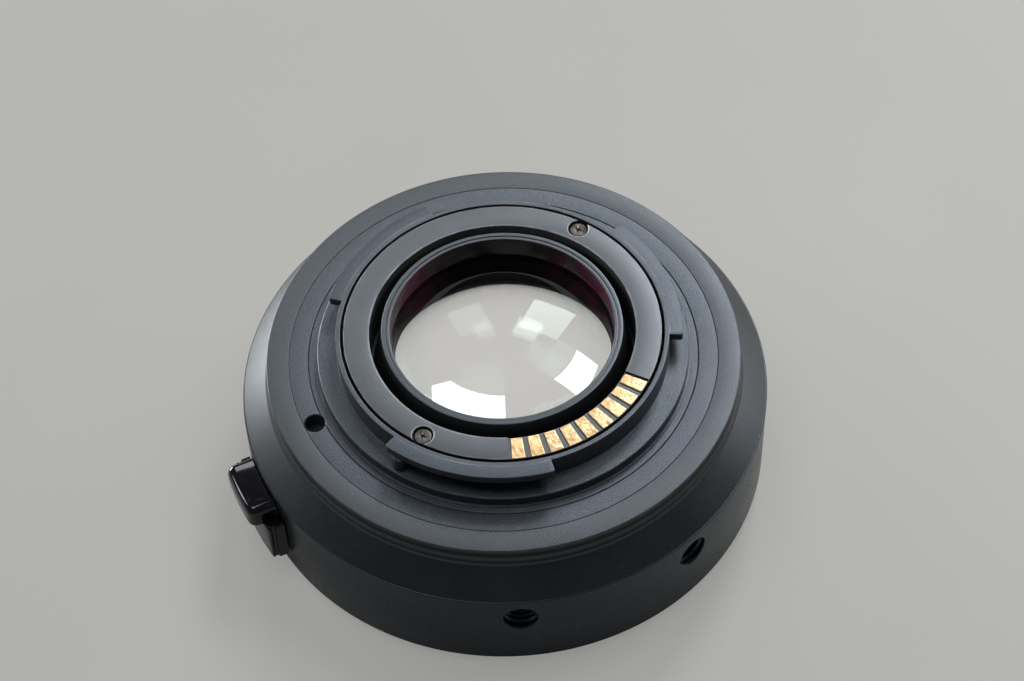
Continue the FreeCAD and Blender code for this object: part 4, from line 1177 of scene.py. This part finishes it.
@dataclass
class OpticalCell:
    """Tube of the glass, with its retaining rings, its spacer and four elements."""

    top: float = 26.0
    top_radius: float = 15.7
    bore: float = 15.15
    ring_top: float = 25.9
    ring_low: float = 22.8
    ring_inner: float = 14.65
    ring_outer: float = 15.1
    front_land: float = 17.2
    front_edge: float = 18.55
    glass_steps: int = 144
    glass_land: float = 13.95
    rear_zone: float = 10.1
    inner_zone: float = 10.8

    def build(self) -> None:
        """Model and dress the cell and its rings."""
        cell = turn("optical_cell", [
            (18.6, 6.4, 0.1), (20.2, 6.4, 0.15), (20.2, 13.6), (22.3, 13.6), (22.3, WEB_LOW),
            (17.25, WEB_LOW), (17.25, WEB_HIGH), (16.8, 18.8), (self.top_radius, self.top, 0.1),
            (self.bore, self.top, 0.03), (self.bore, 19.4), (14.0, 19.4), (14.0, 18.6), (16.05, 18.6),
            (16.05, 12.6), (18.6, 12.6)])
        dress(cell, "cell_black", CELL_BLACK, "lens_cell")
        rear = turn("rear_retainer", [
            (self.ring_inner, self.ring_low), (self.ring_outer, self.ring_low),
            (self.ring_outer, self.ring_top, 0.03), (self.ring_inner, self.ring_top, 0.08)])
        dress(rear, "cell_black", RING_BLACK, "rear_retaining_ring")
        repaint(rear, BORE_BLACK, lambda centre, normal: centre.xy.length < self.ring_inner + 0.01)
        front = turn("front_retainer", [(self.front_land, 6.6, 0.15), (self.front_edge, 6.6, 0.05),
                                        (self.front_edge, 7.6), (self.front_land, 7.6)])
        combine(front, [slab("slot", (-20.0, 20.0), 0.6, (5.6, 7.1))], Join.CUT)
        dress(front, "cell_black", RING_BLACK, "front_retaining_ring")
        dress(self.spacer(), "cell_black", LINER_BLACK, "lens_spacer")
        self.build_glass()

    def spacer(self) -> Piece:
        """Spacer with baffle grooves in its bore."""
        bore = []
        for step in range(5):
            height = 9.8 + 0.36 * step
            bore += [(self.front_land, height), (self.front_land + 0.25, height + 0.1)]
        outline = [(15.2, 12.6), (15.2, 11.6), (self.front_land, 11.6)] + bore[::-1] + [
            (self.front_land, 9.6), (self.front_edge, 9.6), (self.front_edge, 12.6)]
        return turn("spacer", outline)

    def build_glass(self) -> None:
        """Model and dress the glass, from the camera side to the lens side."""
        land = self.glass_land
        self.element("rear_glass", ("rear_element",), GLASS_REAR, GLASS_RIM, self.rear_zone,
                     dome(24.0, land, 19.4, 1) + [(15.1, 19.4), (15.1, self.ring_low)]
                     + dome(36.0, self.ring_inner, self.ring_low, 1)[::-1])
        self.element("cemented_doublet", ("doublet_rear", "doublet_front"), GLASS_INNER, GLASS_INNER_RIM,
                     self.inner_zone,
                     dome(60.0, 15.0, 12.6, 1) + [(16.0, 12.6), (16.0, 18.6)]
                     + dome(24.0, land, 18.6, 1)[::-1])
        self.element("front_glass", ("front_element",), GLASS_UNDER, GLASS_UNDER, self.front_land,
                     dome(90.0, self.front_land, 7.6, -1) + [(self.front_edge, 7.6), (self.front_edge, 9.6)]
                     + dome(120.0, self.front_land, 9.6, -1)[::-1])

    def element(self, name: str, nodes: tuple[str, ...], finish: Finish, rim: Finish, zone: float,
                outline: list[Stop]) -> None:
        """Model and dress one element.

        Args:
            name: its name.
            nodes: nodes that it replaces.
            finish: its finish.
            rim: finish of its upper face outside the zone.
            zone: radius of the zone.
            outline: its outline.
        """
        glass = turn(name, outline, steps=self.glass_steps)
        dress(glass, "coated_glass", finish, *nodes)
        repaint(glass, rim, lambda centre, normal: normal.z > 0.5 and centre.xy.length > zone)
        repaint(glass, GLASS_UNDER, lambda centre, normal: normal.z < -0.5)
        repaint(glass, EDGE_BLACK, self.is_ground)

    @staticmethod
    def is_ground(centre: Vector, normal: Vector) -> bool:
        """Tell whether a face of an element is its ground edge or its flat land, which are painted black."""
        return abs(normal.z) < 0.5 or abs(normal.z) > 0.9999 and centre.xy.length > 13.9


@dataclass
class LensRing:
    """Lens-side bayonet ring with its inner lugs and screws."""

    throat: float = 27.0
    outer: float = 32.5
    lug_centres: tuple[float, ...] = (20.0, 140.0, 260.0)
    lug_sweep: float = 56.0
    lug_inner: float = 25.4
    screw_circle: float = 30.0
    screw_angles: tuple[float, ...] = (25.0, 90.0, 165.0, 262.0)
    screw_seat: float = 0.95
    screw: Screw = Screw(0.85, 1.7, 0.85, 3.4)
    index_circle: float = 29.8

    def build(self) -> None:
        """Model and dress the ring and its screws."""
        ring = turn("lens_ring", [
            (27.3, 0.0, 0.05), (32.2, 0.0, 0.08), (self.outer, 0.3, 0.08), (self.outer, 2.4), (27.5, 2.4),
            (27.5, BARREL_WEB), (self.throat, BARREL_WEB), (self.throat, 0.3, 0.05)])
        combine(ring, [self.lug(centre) for centre in self.lug_centres], Join.FUSE)
        holes = [("head", self.screw_circle, angle, 1.85, self.screw_seat, 0.1)
                 for angle in self.screw_angles]
        holes += [("pin", LOCK_CIRCLE, LEVER_ANGLE, 1.31, 3.0, 0.08),
                  ("mark", self.index_circle, INDEX_ANGLE, 1.35, 0.5, 0.04)]
        tools = [hole(name, upright(circle, angle, 0.0, False), radius, -depth, 0.0, flare)
                 for name, circle, angle, radius, depth, flare in holes]
        combine(ring, tools, Join.CUT)
        dress(ring, "ring_chrome", RING_CHROME, "lens_mount_ring")
        places = [upright(self.screw_circle, angle, self.screw_seat, False) for angle in self.screw_angles]
        dress(self.screw.make("lens_screws", places), "bright_screw", SCREW_BRIGHT, "lens_mount_screws")

    def lug(self, centre: float) -> Piece:
        """One inner lug."""
        half = self.lug_sweep / 2
        lug = turn("lug", band(self.lug_inner, 27.2, 0.1, 1.5), optical(centre - half), 36, self.lug_sweep)
        soften(lug, 0.5, 5, lambda first, last: abs(first.z - last.z) > 0.5 and first.xy.length < 25.6)
        soften(lug, 0.12, 3, lambda first, last: abs(first.z - last.z) < 0.01)
        return lug


@dataclass
class LensContacts:
    """Liner round the lens's tail, with the lens contact block, its screws and its pins."""

    angle: float = 292.0
    half_sweep: float = 26.0
    face: float = 4.9
    top: float = 8.6
    inner: float = 21.2
    outer: float = 25.3
    pin_circle: float = 23.4
    pin_offsets: tuple[float, ...] = (-17.0, -12.5, -8.0, -3.5, 1.0, 10.0, 14.5, 19.0)
    screw_offsets: tuple[float, ...] = (-22.0, 5.5)
    screw_seat: float = 5.5
    screw: Screw = Screw(0.5, 0.9, 0.5, 4.1)
    post_room: float = 2.4
    carrier_room: float = 2.6
    boss_circle: float = 24.2
    boss_radius: float = 1.7
    boss_angles: tuple[float, ...] = (20.0, 130.0, 250.0)

    def build(self) -> None:
        """Model and dress the liner, the block and what is in it."""
        liner = turn("liner", [
            (25.9, BARREL_WEB, 0.15), (28.0, BARREL_WEB), (28.0, 5.2), (26.6, 5.2), (26.6, 9.6),
            (20.6, 9.6, 0.1), (20.6, self.top, 0.1), (25.9, self.top, 0.3)])
        notches = [peg("notch", upright(POST_CIRCLE, angle), self.post_room, 4.0, 10.0)
                   for angle in POST_ANGLES]
        notches.append(peg("notch", upright(LOCK_CIRCLE, LEVER_ANGLE), self.carrier_room, 4.0, 5.6))
        combine(liner, notches, Join.CUT)
        bosses = [peg("boss", upright(self.boss_circle, angle), self.boss_radius, self.top, 11.2)
                  for angle in self.boss_angles]
        combine(liner, bosses, Join.FUSE)
        dress(liner, "liner_plastic", LINER_BLACK, "inner_liner")
        dress(self.block(), "liner_plastic", LINER_BLACK, "lens_contact_block")
        places = [upright(self.pin_circle, self.angle + offset, self.screw_seat, False)
                  for offset in self.screw_offsets]
        dress(self.screw.make("block_screws", places), "steel_screw", SCREW_DARK, "contact_block_screws")
        pin = turn("contact_pins", [
            (0.0, 3.9), (0.5, 3.9, 0.35), (0.5, 5.7), (0.75, 5.7), (0.75, 6.2), (0.0, 6.2)],
            steps=24, bits=6)
        pins = repeat(pin, [upright(self.pin_circle, self.angle + offset).placing()
                            for offset in self.pin_offsets])
        dress(pins, "contact_gold", PIN_GOLD, "lens_contact_pins", body=Body.PINS)

    def block(self) -> Piece:
        """Contact block with its holes."""
        start = self.angle - self.half_sweep
        block = turn("contact_block", [(self.inner, self.face, 0.2), (self.outer, self.face, 0.2),
                                       (self.outer, self.top), (self.inner, self.top)],
                     optical(start), 40, 2 * self.half_sweep)
        soften(block, 0.3, 4, lambda first, last: min(first.z, last.z) < self.face + 0.01 or
               abs(first.z - last.z) > 2.0)
        holes = [("pin", offset, 0.56, 8.0, 0.12) for offset in self.pin_offsets]
        holes += [("screw", offset, 1.05, self.screw_seat, 0.08) for offset in self.screw_offsets]
        tools = [hole(name, upright(self.pin_circle, self.angle + offset, 0.0, False), radius, -depth,
                      -self.face, flare) for name, offset, radius, depth, flare in holes]
        combine(block, tools, Join.CUT)
        return block


@dataclass
class Release:
    """Gloss thumb lever outside the barrel, and the lock pin that it draws back."""

    inner: float = 35.1
    pad_reach: float = 38.7
    pad_half_width: float = 4.35
    pad_low: float = 9.2
    pad_high: float = 13.1
    pad_round: float = 1.1
    base_reach: float = 37.2
    base_half_width: float = 6.1
    base_low: float = 3.8
    base_high: float = 10.4
    base_round: float = 0.5
    groove: float = 0.35
    pin_radius: float = 1.25
    guide_radius: float = 0.9
    pin_end: float = 12.2

    def build(self) -> None:
        """Model and dress the lever and the pin."""
        lever = self.block("lever", self.pad_reach, self.pad_half_width, self.pad_low, self.pad_high, 96)
        soften(lever, self.pad_round, 8,
               lambda first, last: ((first + last) / 2).xy.length > self.inner + 0.9)
        base = self.block("base", self.base_reach, self.base_half_width, self.base_low, self.base_high,
                          ROUND_STEPS)
        soften(base, self.base_round, 5,
               lambda first, last: min(first.xy.length, last.xy.length) > self.base_reach - 0.2)
        middle = (self.inner + self.base_reach) / 2
        for side in (-1, 1):
            groove = peg("groove", Axis((middle, side * self.base_half_width, 0.0)), self.groove,
                         self.base_low - OVERSHOOT, self.base_high + OVERSHOOT, 24)
            combine(base, [groove], Join.CUT)
        combine(lever, [base], Join.FUSE)
        combine(lever, [slab("tongue", (31.35, 35.7), 2.4, (7.8, 9.3))], Join.FUSE)
        put(lever, Matrix.Rotation(math.radians(LEVER_ANGLE), 4, "Z"))
        dress(lever, "lever_gloss", LEVER_GLOSS, "release_lever", body=Body.RELEASE)
        pin = turn("locking_pin", [
            (0.0, 0.0), (self.pin_radius, 0.0, 0.35), (self.pin_radius, 7.8), (self.guide_radius, 7.8),
            (self.guide_radius, self.pin_end, 0.1), (0.0, self.pin_end)],
            upright(LOCK_CIRCLE, LEVER_ANGLE), SMALL_STEPS)
        dress(pin, "ring_chrome", RING_CHROME, "lock_pin", body=Body.RELEASE)

    def block(self, name: str, reach: float, half_width: float, low: float, high: float, steps: int) -> Piece:
        """Block that follows the barrel's round on its inner and outer side."""
        block = slab(name, (self.inner - 2.0, reach + 2.0), half_width, (low, high))
        shape = turn("round", band(self.inner, reach, low - OVERSHOOT, high + OVERSHOOT), steps=steps)
        combine(block, [shape], Join.KEEP)
        return block


@dataclass
class CarriedOver:
    """Pieces of the frame whose own shapes stay."""

    finishes: tuple[tuple[str, Finish], ...] = (
        ("camera_index_dot", INDEX_RED), ("lens_index_dot", INDEX_RED), ("shell_screws", SCREW_DARK),
        ("camera_mount_screws", SCREW_DARK), ("cell_screws", SCREW_DARK), ("liner_screws", SCREW_DARK),
        ("carrier_screw", SCREW_DARK), ("lug_springs", SPRING_STEEL), ("contact_pin_springs", SPRING_STEEL),
        ("release_spring", SPRING_STEEL), ("lock_pin_carrier", SPRING_STEEL), ("circuit_board", BOARD_GREEN),
        ("board_chips", CHIP_BLACK), ("lens_flex_cable", FLEX_AMBER), ("camera_flex_cable", FLEX_AMBER))

    def build(self) -> None:
        """Paint the pieces."""
        for name, finish in self.finishes:
            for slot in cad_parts[name].material_slots:
                slot.material = paint(finish)
            log.info("%s: painted %s", name, finish.name)


@dataclass(frozen=True)
class Panel:
    """A rectangular lamp, seen from the adapter.

    Attributes:
        name: its name.
        azimuth: direction to it about the optical axis.
        elevation: direction to it above the floor.
        size: its width and height, in metres.
        away: its distance, in metres.
        radiance: its brightness, where 1 is white.
        roll: how far it is turned about the line to the adapter.
    """

    name: str
    azimuth: float
    elevation: float
    size: tuple[float, float]
    away: float
    radiance: float
    roll: float = 0.0

    def hang(self) -> None:
        """Put the lamp in its place, facing the adapter."""
        rise = math.radians(self.elevation)
        aim = Vector(spot(math.cos(rise), self.azimuth, math.sin(rise)))
        rest()
        bpy.ops.object.light_add(type="AREA", location=self.away * aim)
        lamp = bpy.context.object
        lamp.name = self.name
        lamp.data.shape = "RECTANGLE"
        lamp.data.size, lamp.data.size_y = self.size
        lamp.data.energy = self.radiance * math.pi * self.size[0] * self.size[1]
        facing = aim.to_track_quat("Z", "Y") @ Quaternion((0.0, 0.0, 1.0), math.radians(self.roll))
        lamp.rotation_euler = facing.to_euler()
        lamp.visible_camera = False


@dataclass
class Studio:
    """Floor, lamps, world and camera.

    Attributes:
        floor_colour: colour of the floor and the background.
        self_lit: share of the floor's colour that its light and shade don't change.
        painted_glow_under_glass: brightness of the floor where it is seen through glass, a painted light that
            also lifts the adapter's shade under it.
        panels: the lamps.
        scale: millimetres in one of the camera's own units.
        distance: the camera's distance, in those units.
        elevation: the camera's height over the floor, in radians.
        roll: how far the camera is rolled, in radians.
        focal: the camera's focal length, in pixels.
        centre: where the optical axis meets the flange, in pixels from the frame's centre.
        lens: the camera's focal length, in millimetres.
    """

    floor_colour: Colour = (0.452, 0.447, 0.430)
    self_lit: float = 0.58
    painted_glow_under_glass: float = 1.6
    panels: tuple[Panel, ...] = (
        Panel("window_back_left", 106.0, 46.0, (0.22, 0.30), 1.1, 5.0),
        Panel("window_back_right", 68.0, 45.0, (0.28, 0.34), 1.1, 17.0),
        Panel("ceiling_left", 180.0, 75.0, (0.5, 0.58), 1.1, 2.9),
        Panel("ceiling_right", 30.0, 57.0, (0.5, 0.35), 1.1, 4.4, 29.0),
        Panel("wall_left", 136.0, 6.0, (0.55, 0.22), 1.1, 26.0),
        Panel("wall_lever", 167.0, 25.0, (0.12, 0.26), 1.1, 8.0),
        Panel("wall_right", 26.0, 13.0, (0.7, 0.42), 1.1, 3.0))
    scale: float = 31.0
    distance: float = 10.84987
    elevation: float = 0.9231102698
    roll: float = -0.0461416097
    focal: float = 2560.0
    centre: tuple[float, float] = (-8.7292, -10.3683)
    lens: float = 90.0

    def build(self) -> None:
        """Set up the scene round the adapter."""
        self.floor()
        self.world()
        for panel in self.panels:
            panel.hang()
        self.camera()
        bpy.context.scene.view_settings.view_transform = "Standard"

    def floor(self) -> None:
        """Plain pale floor that glows brighter through glass than its own colour, as painted light."""
        rest()
        bpy.ops.mesh.primitive_plane_add(size=6.0)
        floor = bpy.context.object
        floor.name = "floor"
        recipe = Recipe("floor_pale")
        tone = recipe.noise(0.02, 3.0)
        colour = recipe.blend(tone, shade(self.floor_colour, 0.96), shade(self.floor_colour, 1.04))
        matt = recipe.add("ShaderNodeBsdfPrincipled", inputs={"Base Color": colour, "Roughness": 0.45})
        pale = recipe.add("ShaderNodeEmission", inputs={"Color": colour, "Strength": 1.0})
        # Painted light: seen through glass, the floor glows brighter than its own colour, also where it lies
        # in the adapter's shade.
        glow = recipe.add("ShaderNodeEmission", inputs={"Color": colour, "Strength": self.painted_glow_under_glass})
        shown = recipe.mixed(recipe.ray("Is Camera Ray") * self.self_lit, matt, pale)
        recipe.end("ShaderNodeOutputMaterial", recipe.mixed(recipe.ray("Is Transmission Ray"), shown, glow))
        floor.data.materials.append(recipe.material)

    def world(self) -> None:
        """Soft light from all round, with a pale background."""
        world = bpy.data.worlds.new("studio")
        world.use_nodes = True
        bpy.context.scene.world = world
        nodes = Nodes(world.node_tree)
        soft = nodes.add("ShaderNodeBackground", inputs={"Color": (0.95, 0.98, 1.0), "Strength": 0.1})
        pale = nodes.add("ShaderNodeBackground", inputs={"Color": self.floor_colour, "Strength": 1.2})
        nodes.end("ShaderNodeOutputWorld", nodes.mixed(nodes.ray("Is Camera Ray"), soft, pale))

    def camera(self) -> None:
        """Camera at the photograph's place."""
        back = Vector((0.0, -math.cos(self.elevation), math.sin(self.elevation)))
        forward = -back
        right = Vector((1.0, 0.0, 0.0))
        up = right.cross(forward)
        across = right * math.cos(self.roll) + up * math.sin(self.roll)
        rise = up * math.cos(self.roll) - right * math.sin(self.roll)
        pan = math.atan(self.centre[0] / self.focal)
        tilt = math.atan(self.centre[1] / math.hypot(self.focal, self.centre[0]))
        side = across * math.cos(pan) + forward * math.sin(pan)
        ahead = forward * math.cos(pan) - across * math.sin(pan)
        top = rise * math.cos(tilt) + ahead * math.sin(tilt)
        view = ahead * math.cos(tilt) - rise * math.sin(tilt)
        rest()
        bpy.ops.object.camera_add()
        camera = bpy.context.object
        placed = Matrix((side, top, -view)).transposed().to_4x4()
        placed.translation = MM * (back * self.distance * self.scale + Vector((0, 0, FLANGE)))
        camera.matrix_world = placed
        camera.data.lens = self.lens
        camera.data.clip_start = 0.01
        bpy.context.scene.camera = camera


def main() -> None:
    """Build the adapter and its studio."""
    logging.basicConfig(level=logging.INFO, format="%(name)s: %(message)s")
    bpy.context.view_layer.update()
    for part in (Barrel(), Shell(), CameraMount(), ContactRing(), OpticalCell(), LensRing(), LensContacts(),
                 Release(), CarriedOver(), Studio()):
        part.build()
    rest()


if __name__ == "__main__":
    main()
